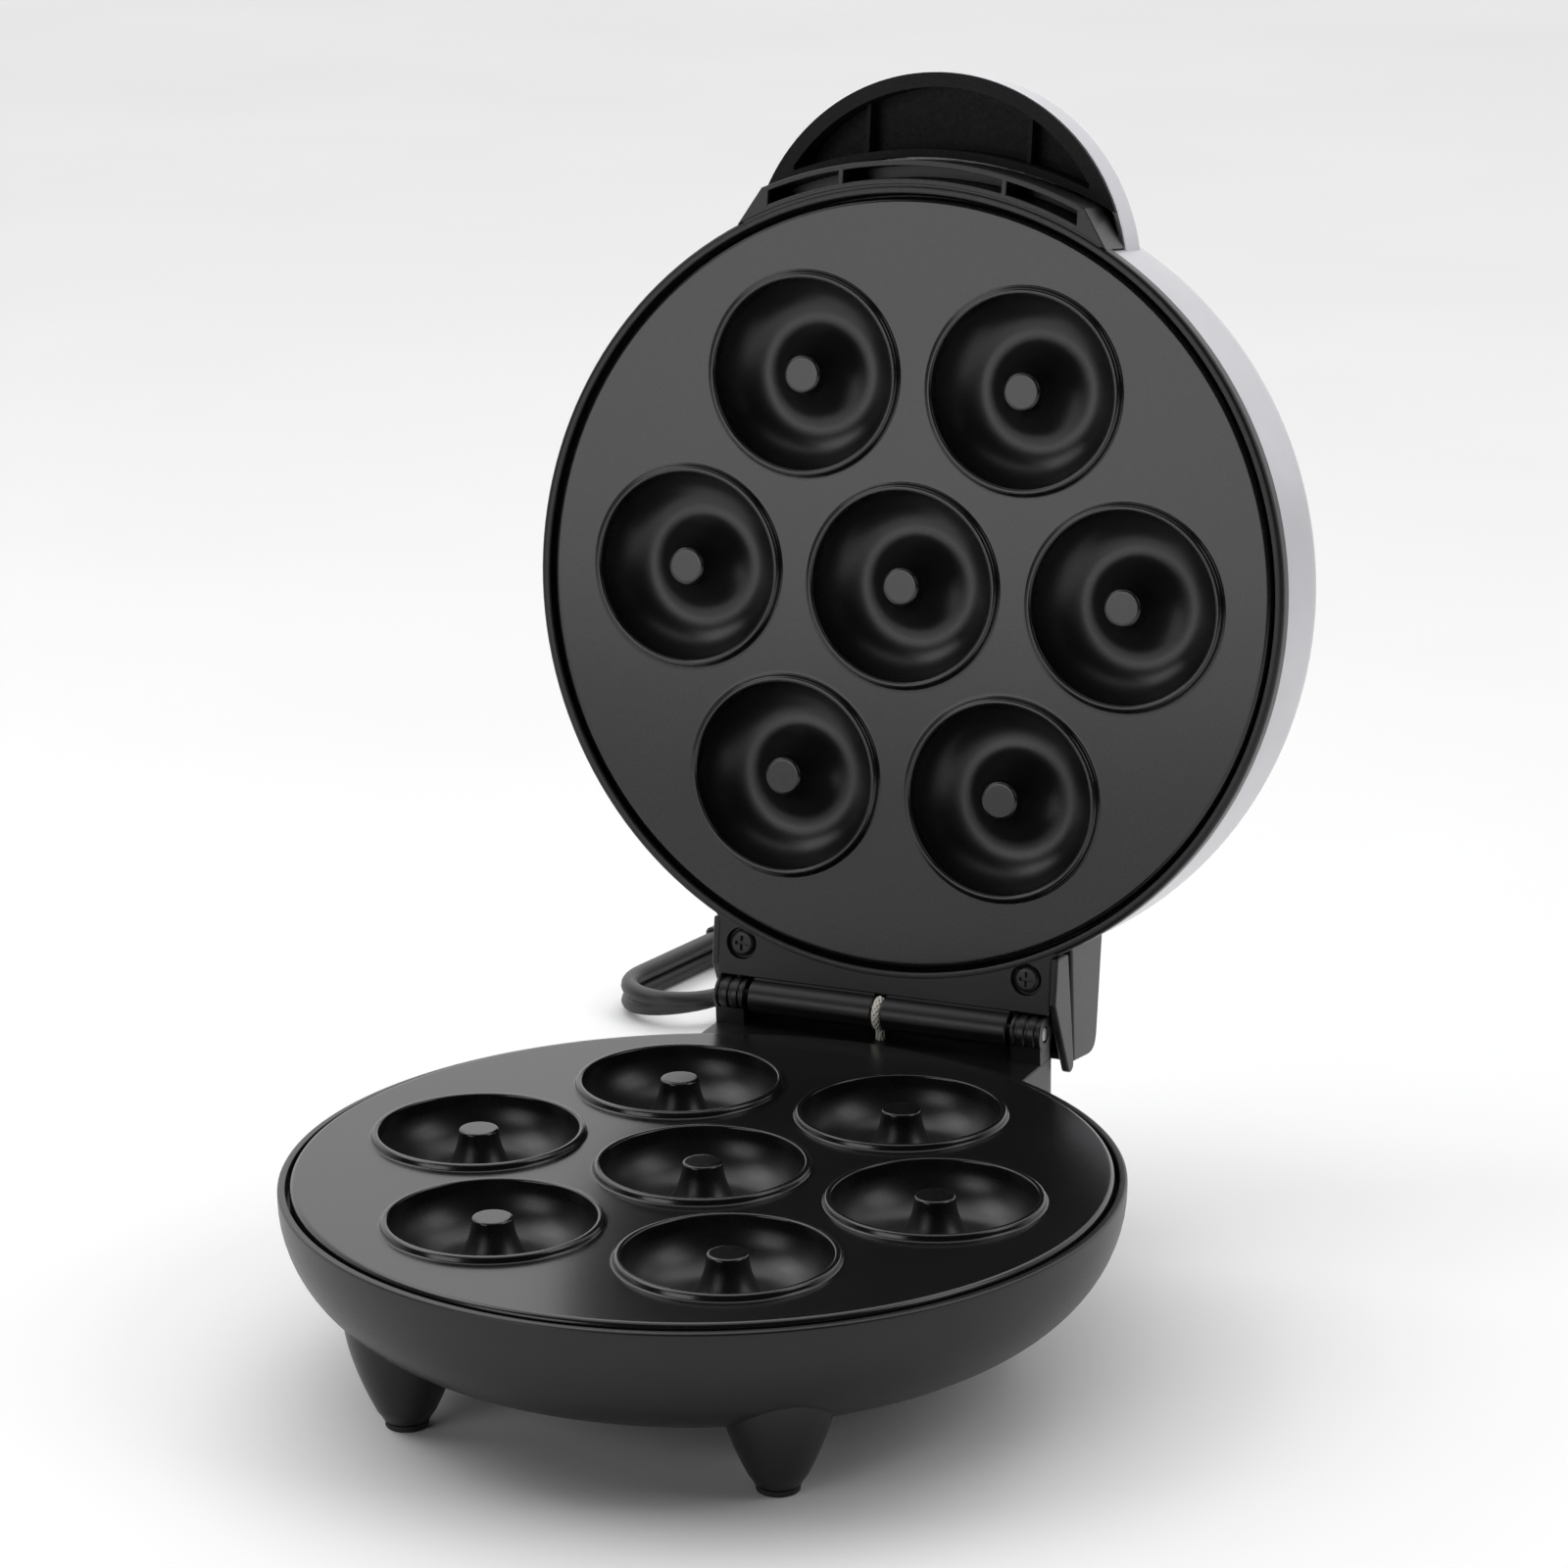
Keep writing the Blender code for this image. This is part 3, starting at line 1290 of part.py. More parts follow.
def plug_body():
    """A moulded body that widens from its neck to its face."""
    neck = CORD_RADIUS * 1.25
    shoulder = PLUG_LENGTH * 0.45
    outline = [(-neck, 0.0), (neck, 0.0), (neck * 1.3, shoulder * 0.6)]
    outline += [(PLUG_HALF_WIDTH, shoulder), (PLUG_HALF_WIDTH, PLUG_LENGTH)]
    outline += [(-PLUG_HALF_WIDTH, PLUG_LENGTH), (-PLUG_HALF_WIDTH, shoulder)]
    outline += [(-neck * 1.3, shoulder * 0.6)]
    return plug_place(prism(outline, 0.0, PLUG_HEIGHT))


make("plug_body", plug_body(), CORD)
BLADE_HALF_THICKNESS = 0.00075
BLADE_HALF_WIDTH = 0.0032
for side, sign in (("left", -1), ("right", 1)):
    middle = sign * BLADE_SPACING / 2
    blade = block(
        (
            middle - BLADE_HALF_THICKNESS,
            PLUG_LENGTH + FIT_GAP,
            PLUG_HEIGHT / 2 - BLADE_HALF_WIDTH,
        ),
        (
            middle + BLADE_HALF_THICKNESS,
            PLUG_LENGTH + BLADE_LENGTH,
            PLUG_HEIGHT / 2 + BLADE_HALF_WIDTH,
        ),
    )
    make(f"plug_blade_{side}", plug_place(blade), BRASS)
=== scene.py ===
"""The looks of a seven-ring donut maker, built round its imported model.

Metres, +Z up. Pieces are drawn round the middle of the lower cooking plate's flat face,
with the lid closed, and are then placed on the base or on the open lid.
"""

import json
import math

import bmesh
import bpy
from mathutils import Matrix, Vector


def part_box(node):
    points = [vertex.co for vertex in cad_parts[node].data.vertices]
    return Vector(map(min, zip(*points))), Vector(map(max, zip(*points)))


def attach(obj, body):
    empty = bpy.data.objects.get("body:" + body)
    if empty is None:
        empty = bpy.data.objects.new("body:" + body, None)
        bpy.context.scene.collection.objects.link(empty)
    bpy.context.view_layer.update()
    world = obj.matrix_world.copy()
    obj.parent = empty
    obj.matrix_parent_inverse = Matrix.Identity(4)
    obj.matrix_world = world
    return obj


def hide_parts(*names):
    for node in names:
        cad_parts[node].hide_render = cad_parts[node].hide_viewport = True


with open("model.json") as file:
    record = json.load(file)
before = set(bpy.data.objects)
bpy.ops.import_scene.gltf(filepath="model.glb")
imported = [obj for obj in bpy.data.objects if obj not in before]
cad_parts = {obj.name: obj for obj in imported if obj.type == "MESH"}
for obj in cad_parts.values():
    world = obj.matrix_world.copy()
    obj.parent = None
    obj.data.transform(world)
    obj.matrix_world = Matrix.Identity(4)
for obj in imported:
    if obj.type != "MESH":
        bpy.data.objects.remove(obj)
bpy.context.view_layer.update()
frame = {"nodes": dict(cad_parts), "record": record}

# ---- places taken from the frame
GAP = 0.0003
RING_HEIGHT = 0.0017
PLATE_LOW, PLATE_HIGH = (Vector(corner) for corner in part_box("lower_plate"))
PLATE_RADIUS = (PLATE_HIGH.x - PLATE_LOW.x) / 2
ORIGIN = (PLATE_LOW + PLATE_HIGH) / 2
ORIGIN.z = PLATE_HIGH.z - RING_HEIGHT
TABLE = -ORIGIN.z

SWING = frame["record"]["behaviour"]["joints"][0]
HINGE = Vector(SWING["pos_m"]) - ORIGIN
OPEN_ANGLE = math.radians(SWING["range_deg"][1])
ON_BASE = Matrix.Translation(ORIGIN)
ON_LID = (
    Matrix.Translation(ORIGIN + HINGE)
    @ Matrix.Rotation(-OPEN_ANGLE, 4, "X")
    @ Matrix.Translation(-HINGE)
)


def corners(node):
    """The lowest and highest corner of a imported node, from the lower plate's middle."""
    return [Vector(corner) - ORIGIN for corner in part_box(node)]


# ---- sizes of the fine shapes
PLATE_THICKNESS = 0.0020
PLATE_EDGE = 0.0014
PLATE_SKIRT = 0.0064
PLATE_SPACING = 0.0040
DONUT_PITCH = 0.0650
RING_RADIUS = 0.0286
RING_WIDTH = 0.0016
TROUGH_RADIUS = 0.0155
TROUGH_DEPTH = 0.0120
POST_RADIUS = 0.0053
POST_TAPER = 0.0005

REVEAL_RADIUS = PLATE_RADIUS + 0.0011  # the gap round a plate runs out to here
HOUSING_RADIUS = PLATE_RADIUS + 0.0032
HOUSING_WALL = 0.0024
HOUSING_RIM = -0.0012
HOUSING_DEPTH = 0.0397
HOUSING_FLAT = 0.0510
HOUSING_OPENING = 0.0400
LEDGE_INNER = 0.0926
LEDGE_THICKNESS = 0.0020

FRAME_RADIUS = HOUSING_RADIUS + 0.0005
RING_MIDDLE = REVEAL_RADIUS + 0.0010  # inside the lid's ring, where others join it
FRAME_LOW = 0.0030
FRAME_TOP = 0.0077
REAR_HALF_WIDTH = 0.0500
REAR_THICKNESS = 0.0030
REAR_BACK_Y = HINGE.y - 0.0054
REAR_NOTCH = 0.0023
CHEEK_THICKNESS = 0.0020
SCREW_X = 0.0430
SCREW_Y = HINGE.y - 0.0148
SCREW_HEAD = 0.0034  # its radius
SCREW_HEAD_HEIGHT = 0.0016
SHANK_RADIUS = 0.0015
REAR_SCREW_HEAD = 0.0038
WELL_RADIUS = 0.0042

BARREL_RADIUS = 0.0049
BORE_RADIUS = 0.0023
TUBE_ENDS = (0.0015, 0.0389)
KNUCKLE_ENDS = (0.0403, 0.0493)
KNUCKLE_RIBS = 3
PEDESTAL_TOP = -0.0036
PEDESTAL_LOW = TABLE + 0.0078
PEDESTAL_BACK_Y = HINGE.y + 0.0088
PEDESTAL_WALL = 0.0025

BAND_RADIUS = HOUSING_RADIUS + 0.0069
BAND_INNER = HOUSING_RADIUS + 0.0004
BAND_HALF_ANGLE = math.radians(24.0)
BAND_END_ANGLE = math.radians(29.5)
BAND_TOP = 0.0177
BAND_WALL = 0.0015
RIB_X = 0.0240

COVER_RADIUS = HOUSING_RADIUS
COVER_WALL = 0.0015
COVER_SHOULDER = 0.0140
COVER_TOP = 0.0450
COVER_LOW = FRAME_TOP + GAP

HANDLE_Y = 0.0250 - COVER_RADIUS
HANDLE_RADIUS = 0.0540
HANDLE_LOW = 0.0160
HANDLE_TOP = 0.0280
HANDLE_WALL = 0.0022
HANDLE_SKIN = 0.0015
HANDLE_RIM = 0.0020
HANDLE_RIB = 0.0012
HANDLE_RIB_DROP = 0.0050

REAR_COVER_HALF_WIDTH = 0.0515
REAR_COVER_FRONT_Y = HINGE.y - 0.0308
REAR_COVER_BACK_Y = HINGE.y + 0.0108
REAR_COVER_TOP = 0.0405
REAR_COVER_WALL = 0.0018
REAR_COVER_EDGES = (0.0137, 0.0224)

PIN_RADIUS = 0.0020
LAMP_RADIUS = 0.0040
LAMP_HEIGHT = 0.0012
PAD_RADIUS = 0.0056
PAD_HEIGHT = 0.0016
PAD_STEM = 0.0020  # its radius
FOOT_LOW = TABLE + PAD_HEIGHT + GAP
FOOT_RADIUS = 0.0062
LEG_TOP_RADIUS = 0.0155
LEG_HEIGHT = ORIGIN.z - 0.0230
HEEL_RADIUS = 0.0090
SLEEVE_RADIUS = 0.0011
THREAD_RADIUS = 0.00030

CORD_DIAMETER = 0.0056

ROUND = 160  # sides of a large round piece
MEDIUM = 64
SMALL = 32
BEVEL_ANGLE = math.radians(40.0)  # sharper edges than this are rounded
SHARP_ANGLE = math.radians(32.0)  # sharper ones than this are shaded sharp


def new_object(name, data):
    made = bpy.data.objects.new(name, data)
    bpy.context.scene.collection.objects.link(made)
    return made


# ---- camera
VIEW = (23.809, 16.294, -0.499)  # degrees round from the front, up, and of roll
CAMERA_DISTANCE = 1.3177
CAMERA_ACROSS = 0.0211
CAMERA_UP = 0.0993
LENS = 116.66
SENSOR = 36.0


def camera():
    """Looks down at the front from the right, past the middle of the lower plate."""
    azimuth, elevation, roll = (math.radians(angle) for angle in VIEW)
    back = Vector((math.sin(azimuth), -math.cos(azimuth), math.tan(elevation)))
    back.normalize()
    right = Vector((math.cos(azimuth), math.sin(azimuth), 0.0))
    up = back.cross(right)
    across = math.cos(roll) * right + math.sin(roll) * up
    upward = back.cross(across)
    place = ORIGIN + CAMERA_DISTANCE * back + CAMERA_ACROSS * across + CAMERA_UP * upward
    data = bpy.data.cameras.new("camera")
    data.lens = LENS
    data.sensor_width = SENSOR
    made = new_object("camera", data)
    turn = Matrix((across, upward, back)).transposed().to_4x4()
    made.matrix_world = Matrix.Translation(place) @ turn
    bpy.context.scene.camera = made


camera()


# ---- materials
EVEN = (1.0, 1.0, 1.0)
NOISE_LOW, NOISE_HIGH = 0.3, 0.7  # most of a noise's values lie between these
GRAIN_HEIGHT = 0.00008


def fill(node, **values):
    """Sets a node's inputs to values or to the outputs of others; _ stands for a space."""
    for name, value in values.items():
        socket = node.inputs[name.replace("_", " ")]
        if isinstance(value, bpy.types.NodeSocket):
            node.id_data.links.new(value, socket)
        else:
            socket.default_value = value


def add_node(tree, kind, **values):
    made = tree.nodes.new("ShaderNode" + kind)
    fill(made, **values)
    return made


def node_tree(name):
    made = bpy.data.materials.new(name)
    made.use_nodes = True
    return made, made.node_tree, made.node_tree.nodes["Principled BSDF"]


def noise(tree, scale, stretch=EVEN, detail=4.0):
    """A noise texture over the piece's own coordinates."""
    place = add_node(tree, "TexCoord").outputs["Object"]
    mapped = add_node(tree, "Mapping", Vector=place, Scale=stretch).outputs["Vector"]
    texture = add_node(tree, "TexNoise", Vector=mapped, Scale=scale, Detail=detail)
    return texture.outputs["Fac"]


def ramp(tree, source, low, high, start=NOISE_LOW, stop=NOISE_HIGH):
    """A colour that runs from low to high as the source runs from start to stop."""
    made = add_node(tree, "ValToRGB", Fac=source)
    ends = ((start, low), (stop, high))
    for element, (position, colour) in zip(made.color_ramp.elements, ends):
        element.position = position
        element.color = (*colour, 1.0)
    return made.outputs["Color"]


def rescaled(tree, source, start, stop, low, high):
    made = add_node(
        tree, "MapRange", Value=source, From_Min=start, From_Max=stop, To_Min=low, To_Max=high
    )
    return made.outputs["Result"]


def spread(tree, source, low, high):
    """The middle of a noise spread over low to high."""
    return rescaled(tree, source, NOISE_LOW, NOISE_HIGH, low, high)


def bump(tree, source, strength, distance):
    made = add_node(tree, "Bump", Height=source, Strength=strength, Distance=distance)
    return made.outputs["Normal"]


def grey(level):
    return (level, level, level)


def shade(colour, share):
    return tuple(min(1.0, channel * share) for channel in colour)


def surface(name, colour, roughness, metallic=0.0, vary=0.2, grain=2200.0, relief=0.15,
            stretch=EVEN, coat=0.0, specular=0.5):
    """A finish whose colour and roughness drift, with a fine grain in its surface."""
    made, tree, shader = node_tree(name)
    drift = noise(tree, 45.0)
    fine = noise(tree, grain, stretch, 2.0)
    fill(
        shader,
        Base_Color=ramp(tree, drift, shade(colour, 1.0 - vary), shade(colour, 1.0 + vary)),
        Roughness=spread(tree, fine, roughness * 0.88, roughness * 1.12),
        Normal=bump(tree, fine, relief, GRAIN_HEIGHT),
        Metallic=metallic,
        Specular_IOR_Level=specular,
        Coat_Weight=coat,
        Coat_Roughness=0.12,
    )
    return made


def depth_in_mould(tree):
    """Nothing on a plate's flat face and its rings, rising to one inside a mould."""
    place = add_node(tree, "TexCoord").outputs["Object"]
    value = add_node(tree, "SeparateXYZ", Vector=place).outputs["Z"]
    half = PLATE_SPACING / 2
    for operation in ("SUBTRACT", "ABSOLUTE"):
        step = add_node(tree, "Math")
        step.operation = operation
        step.inputs[1].default_value = half
        tree.links.new(value, step.inputs[0])
        value = step.outputs["Value"]
    return rescaled(tree, value, half + 0.0005, half + 0.0030, 0.0, 1.0)


def nonstick():
    """Black coating on cast aluminium, smoother on the flat, with sparse lighter specks."""
    made, tree, shader = node_tree("nonstick")
    total = add_node(tree, "Mix")
    total.data_type = "RGBA"
    total.blend_type = "ADD"
    drift = ramp(tree, noise(tree, 30.0), grey(0.0045), grey(0.0065))
    specks = ramp(tree, noise(tree, 2600.0, detail=1.0), grey(0.0), grey(0.022), 0.66, 0.74)
    fill(total, Factor=1.0, A=drift, B=specks)
    fine = noise(tree, 1500.0, detail=3.0)
    on_flat = spread(tree, fine, 0.17, 0.22)
    in_mould = spread(tree, fine, 0.31, 0.38)
    rough = add_node(tree, "Mix", Factor=depth_in_mould(tree), A=on_flat, B=in_mould)
    fill(
        shader,
        Base_Color=total.outputs["Result"],
        Roughness=rough.outputs["Result"],
        Normal=bump(tree, fine, 0.10, 0.00005),
        Specular_IOR_Level=0.5,
    )
    return made


def braid():
    """Varnished glass-fibre sleeve: pale threads, with painted shade for the gaps between them.
    """
    made, tree, shader = node_tree("braid")
    threads = noise(tree, 2600.0, detail=2.0)
    fill(
        shader,
        # painted shade: darker noise patches stand for the shaded gaps between threads
        Base_Color=ramp(tree, threads, (0.45, 0.43, 0.37), (0.82, 0.80, 0.73), NOISE_LOW, 0.55),
        Roughness=spread(tree, threads, 0.55, 0.75),
        Normal=bump(tree, threads, 0.5, 0.0001),
        Sheen_Weight=0.3,
    )
    return made


def lens(name, colour):
    """A clear tinted lamp lens, faintly uneven inside."""
    made, tree, shader = node_tree(name)
    drift = noise(tree, 350.0)
    fill(
        shader,
        Base_Color=ramp(tree, drift, shade(colour, 0.7), colour),
        Roughness=spread(tree, drift, 0.05, 0.10),
        Transmission_Weight=0.35,
        Coat_Weight=0.6,
    )
    return made


FINISHES = {
    "nonstick_coating": nonstick(),
    "black_housing": surface(
        "black_plastic", (0.0055, 0.0055, 0.0056), 0.36, relief=0.2, specular=0.4
    ),
    "silver_cover": surface(
        "silver_paint", (0.47, 0.47, 0.50), 0.33, 0.85, 0.04, 700.0, 0.10, (1.0, 1.0, 14.0), 0.3
    ),
    "zinc_steel": surface("zinc_steel", (0.42, 0.42, 0.44), 0.34, 1.0, 0.12, 900.0),
    "blackened_steel": surface("black_oxide", (0.030, 0.030, 0.032), 0.36, 0.6, 0.2, 900.0),
    "heater_sheath": surface("heater_sheath", (0.25, 0.24, 0.23), 0.48, 1.0, 0.3, 700.0),
    "rubber_pad": surface("rubber", grey(0.012), 0.72, grain=1200.0, relief=0.35),
    "strain_relief_rubber": surface("relief", grey(0.014), 0.60, relief=0.3),
    "reflector_sheet": surface(
        "reflector", (0.62, 0.62, 0.63), 0.30, 1.0, 0.06, 500.0, 0.1, (1.0, 12.0, 1.0)
    ),
    "bakelite": surface("bakelite", (0.050, 0.034, 0.024), 0.42, vary=0.35),
    "fuse_case": surface("fuse_case", grey(0.60), 0.28, 1.0, 0.08, 800.0),
    "glass_braid": braid(),
    "red_lens": lens("red_lens", (0.60, 0.02, 0.01)),
    "green_lens": lens("green_lens", (0.02, 0.42, 0.07)),
    "cord_jacket": surface("cord_jacket", grey(0.012), 0.46, grain=1400.0, relief=0.2),
    "tie_wrap": surface("tie_wrap", grey(0.020), 0.40, relief=0.2),
    "plug_blades": surface(
        "blades", (0.72, 0.55, 0.26), 0.26, 1.0, 0.08, 800.0, 0.12, (1.0, 0.1, 1.0)
    ),
}


# ---- shape helpers
def arc(centre, radius, start, stop, steps):
    """Points along an arc, both ends included; angles in radians from +X."""
    points = []
    for k in range(steps + 1):
        turn = start + (stop - start) * k / steps
        points.append((centre[0] + radius * math.cos(turn), centre[1] + radius * math.sin(turn)))
    return points


def rounded(points, steps=4):
    """A closed outline of (x, y, cut), each corner rounded from cut before it to cut after."""
    outline = []
    for k, (x, y, cut) in enumerate(points):
        corner = Vector((x, y))
        before = Vector(points[k - 1][:2]) - corner
        after = Vector(points[(k + 1) % len(points)][:2]) - corner
        reach = min(cut, 0.49 * before.length, 0.49 * after.length)
        if reach <= 0.0:
            outline.append((x, y))
            continue
        first = corner + reach * before.normalized()
        last = corner + reach * after.normalized()
        for step in range(steps + 1):
            t = step / steps
            point = (1 - t) ** 2 * first + 2 * t * (1 - t) * corner + t**2 * last
            outline.append((point.x, point.y))
    return outline


def loop_at(bm, centre, radius, height, sides):
    """A ring of points, or a single one where the radius is nothing."""
    if radius < 1e-9:
        return [bm.verts.new((centre[0], centre[1], height))]
    points = arc(centre, radius, 0.0, 2 * math.pi * (sides - 1) / sides, sides - 1)
    return [bm.verts.new((x, y, height)) for x, y in points]


def join_rings(bm, first, second):
    """Faces between two rings of points; a ring of one point closes to it."""
    if len(first) == 1 and len(second) == 1:
        return
    for k in range(max(len(first), len(second))):
        corners = [first[k % len(first)], first[(k + 1) % len(first)]]
        corners += [second[(k + 1) % len(second)], second[k % len(second)]]
        bm.faces.new(list(dict.fromkeys(corners)))


def lathe(profile, sides=ROUND, centre=(0.0, 0.0)):
    """A solid turned about a vertical axis from a closed outline of (radius, height)."""
    bm = bmesh.new()
    rings = [loop_at(bm, centre, radius, height, sides) for radius, height in profile]
    for lower, upper in zip(rings, rings[1:] + rings[:1]):
        join_rings(bm, lower, upper)
    return bm


def cylinder(radius, low, high, sides=SMALL, centre=(0.0, 0.0)):
    return lathe([(0.0, low), (radius, low), (radius, high), (0.0, high)], sides, centre)


def rectangle(centre, half_x, half_y):
    x, y = centre
    return [(x - half_x, y - half_y), (x + half_x, y - half_y),
            (x + half_x, y + half_y), (x - half_x, y + half_y)]


def prism(outline, low, high):
    """An upright solid with the given outline of (x, y)."""
    bm = bmesh.new()
    floor = [bm.verts.new((x, y, low)) for x, y in outline]
    roof = [bm.verts.new((x, y, high)) for x, y in outline]
    bm.faces.new(floor)
    bm.faces.new(roof)
    for k in range(len(outline)):
        after = (k + 1) % len(outline)
        bm.faces.new((floor[k], floor[after], roof[after], roof[k]))
    return bm


def sideways(outline, low, high):
    """A solid along X with the given outline of (y, z)."""
    bm = prism(outline, low, high)
    turn = Matrix(((0, 0, 1, 0), (1, 0, 0, 0), (0, 1, 0, 0), (0, 0, 0, 1)))
    bmesh.ops.transform(bm, matrix=turn, verts=bm.verts)
    return bm


def moved(bm, matrix):
    bmesh.ops.transform(bm, matrix=matrix, verts=bm.verts)
    return bm


def along_y(bm, place):
    """Turns an upright shape so that its axis runs back from a place."""
    return moved(bm, Matrix.Translation(place) @ Matrix.Rotation(-math.pi / 2, 4, "X"))


def along_x(bm, y, z):
    """Turns an upright lathe so that its axis lies along X through (y, z)."""
    return moved(bm, Matrix.Translation((0.0, y, z)) @ Matrix.Rotation(math.pi / 2, 4, "Y"))


def turned_over(bm):
    """Turns a piece of the lower half over into the same piece of the lid."""
    flip = Matrix.Translation((0, 0, PLATE_SPACING)) @ Matrix.Scale(-1, 4, (0, 0, 1))
    return moved(bm, flip)


def mesh_of(bm, name="part"):
    """The shape as a mesh, its faces turned outwards; the shape itself is used up."""
    bmesh.ops.recalc_face_normals(bm, faces=bm.faces)
    mesh = bpy.data.meshes.new(name)
    bm.to_mesh(mesh)
    bm.free()
    return mesh


def merged(*shapes):
    """Several shapes in one."""
    whole = bmesh.new()
    for bm in shapes:
        mesh = mesh_of(bm)
        whole.from_mesh(mesh)
        bpy.data.meshes.remove(mesh)
    return whole


def bevel(piece, width, segments):
    modifier = piece.modifiers.new("edges", "BEVEL")
    modifier.width = width
    modifier.segments = segments
    modifier.limit_method = "ANGLE"
    modifier.angle_limit = BEVEL_ANGLE


def carved(bm, *cutters, joined=(), edge=0.0, segments=3):
    """The shape with its edges rounded, then other shapes joined to it and cutters taken off."""
    piece = new_object("temporary", mesh_of(bm))
    if edge:
        bevel(piece, edge, segments)
    others = []
    for operation, shapes in (("UNION", joined), ("DIFFERENCE", cutters)):
        for shape in shapes:
            others.append(new_object("temporary", mesh_of(shape)))
            modifier = piece.modifiers.new("step", "BOOLEAN")
            modifier.operation = operation
            modifier.object = others[-1]
    graph = bpy.context.evaluated_depsgraph_get()
    result = bmesh.new()
    result.from_mesh(piece.evaluated_get(graph).to_mesh())
    for used in [piece] + others:
        mesh = used.data
        bpy.data.objects.remove(used)
        bpy.data.meshes.remove(mesh)
    return result


def settle(piece, body, slot, nodes):
    """Puts a finished object on its body, with its finish and the nodes it stands for."""
    piece.matrix_world = ON_LID if body == "lid" else ON_BASE
    piece.data.materials.append(FINISHES[slot])
    bpy.context.view_layer.update()
    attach(piece, body)
    if nodes:
        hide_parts(*nodes)
    return piece


def add(name, bm, body, slot, *nodes, edge=0.0, segments=3):
    """A named piece from a shape drawn round the lower plate with the lid closed."""
    bmesh.ops.remove_doubles(bm, verts=bm.verts, dist=1e-7)
    mesh = mesh_of(bm, name)
    mesh.shade_smooth()
    mesh.set_sharp_from_angle(angle=SHARP_ANGLE)
    piece = new_object(name, mesh)
    if edge:
        bevel(piece, edge, segments)
    weighted = piece.modifiers.new("normals", "WEIGHTED_NORMAL")
    weighted.keep_sharp = True
    return settle(piece, body, slot, nodes)


# ---- mains cord
CORD_RADIUS = CORD_DIAMETER / 2
CORD_LOW = TABLE + CORD_RADIUS
RELIEF_LOW, RELIEF_HIGH = corners("strain_relief")
CORD_START_Y = RELIEF_HIGH.y
CORD_EXIT_X = (RELIEF_LOW.x + RELIEF_HIGH.x) / 2
EXIT_Z = (RELIEF_LOW.z + RELIEF_HIGH.z) / 2
HANK_ANGLE = math.radians(80.0)
ROUTE_SPACING = 0.0028
HANK_RUN = 0.0900
HANK_FOLD_RADIUS = 0.0170
HANK_TURNS = 2
HANK_NEAR = Vector((-0.1235, CORD_START_Y + 0.0976, 0.0))
HANK_ALONG = Vector((math.cos(HANK_ANGLE), math.sin(HANK_ANGLE), 0.0))
HANK_LEFT = Vector((-math.sin(HANK_ANGLE), math.cos(HANK_ANGLE), 0.0))
HANK_MIDDLE = HANK_NEAR + HANK_RUN / 2 * HANK_ALONG

# The cord's route: x, then how far behind the strain relief, then z.
# Straight out of the strain relief, down to the table, then round to the hank.
LEAD = [
    (CORD_EXIT_X, 0.0005, EXIT_Z),
    (CORD_EXIT_X, 0.0090, EXIT_Z),
    (-0.0285, 0.0190, EXIT_Z - 0.0042),
    (-0.0305, 0.0290, EXIT_Z - 0.0102),
    (-0.0360, 0.0390, EXIT_Z - 0.0160),
    (-0.0445, 0.0475, CORD_LOW + 0.0003),
    (-0.0550, 0.0530, CORD_LOW),
    (-0.0670, 0.0565, CORD_LOW),
    (-0.0785, 0.0600, CORD_LOW),
    (-0.0890, 0.0655, CORD_LOW),
    (-0.0970, 0.0730, CORD_LOW),
    (-0.1020, 0.0810, CORD_LOW),
]
# Off the top turn of the hank and down beside it to the plug.
TAIL = [
    (-0.0935, 0.1130, CORD_LOW + 0.0046),
    (-0.0872, 0.1205, CORD_LOW + 0.0030),
    (-0.0815, 0.1280, CORD_LOW + 0.0013),
    (-0.0772, 0.1360, CORD_LOW + 0.0003),
    (-0.0752, 0.1430, CORD_LOW),
    (-0.0750, 0.1490, CORD_LOW),
]


def behind(route):
    return [(x, CORD_START_Y + y, z) for x, y, z in route]


def hank_points():
    """The folded turns, each rising onto the last one round the near fold."""
    points = []
    quarter = math.pi / 2
    for turn in range(HANK_TURNS):
        low = CORD_LOW + turn * CORD_DIAMETER
        for k in range(1, 7):
            place = HANK_NEAR + HANK_RUN * k / 7 * HANK_ALONG - HANK_FOLD_RADIUS * HANK_LEFT
            points.append((place.x, place.y, low))
        far = HANK_NEAR + HANK_RUN * HANK_ALONG
        fold = arc(far, HANK_FOLD_RADIUS, HANK_ANGLE - quarter, HANK_ANGLE + quarter, 16)
        points += [(x, y, low) for x, y in fold]
        for k in range(1, 7):
            place = far - HANK_RUN * k / 7 * HANK_ALONG + HANK_FOLD_RADIUS * HANK_LEFT
            points.append((place.x, place.y, low))
        last = turn == HANK_TURNS - 1
        fold = arc(
            HANK_NEAR, HANK_FOLD_RADIUS, HANK_ANGLE + quarter, HANK_ANGLE + 3 * quarter, 16
        )
        for k, (x, y) in enumerate(fold):
            climb = 0.0 if last else CORD_DIAMETER * (1 - math.cos(math.pi * k / 16)) / 2
            points.append((x, y, low + climb))
    return points


def smooth_route(points, spacing):
    """Points at an even spacing on one smooth curve through the given points."""
    knots = [Vector(point) for point in points]
    knots = [2 * knots[0] - knots[1]] + knots + [2 * knots[-1] - knots[-2]]
    fine = [knots[1]]
    for before, start, stop, after in zip(knots, knots[1:], knots[2:], knots[3:]):
        for k in range(1, 11):
            t = k / 10
            blend = (2 * start) + (stop - before) * t
            blend += (2 * before - 5 * start + 4 * stop - after) * t**2
            blend += (3 * start - before - 3 * stop + after) * t**3
            fine.append(blend / 2)
    route = [fine[0]]
    travelled = 0.0
    for start, stop in zip(fine, fine[1:]):
        travelled += (stop - start).length
        if travelled >= spacing:
            route.append(stop)
            travelled = 0.0
    return route + [fine[-1]]


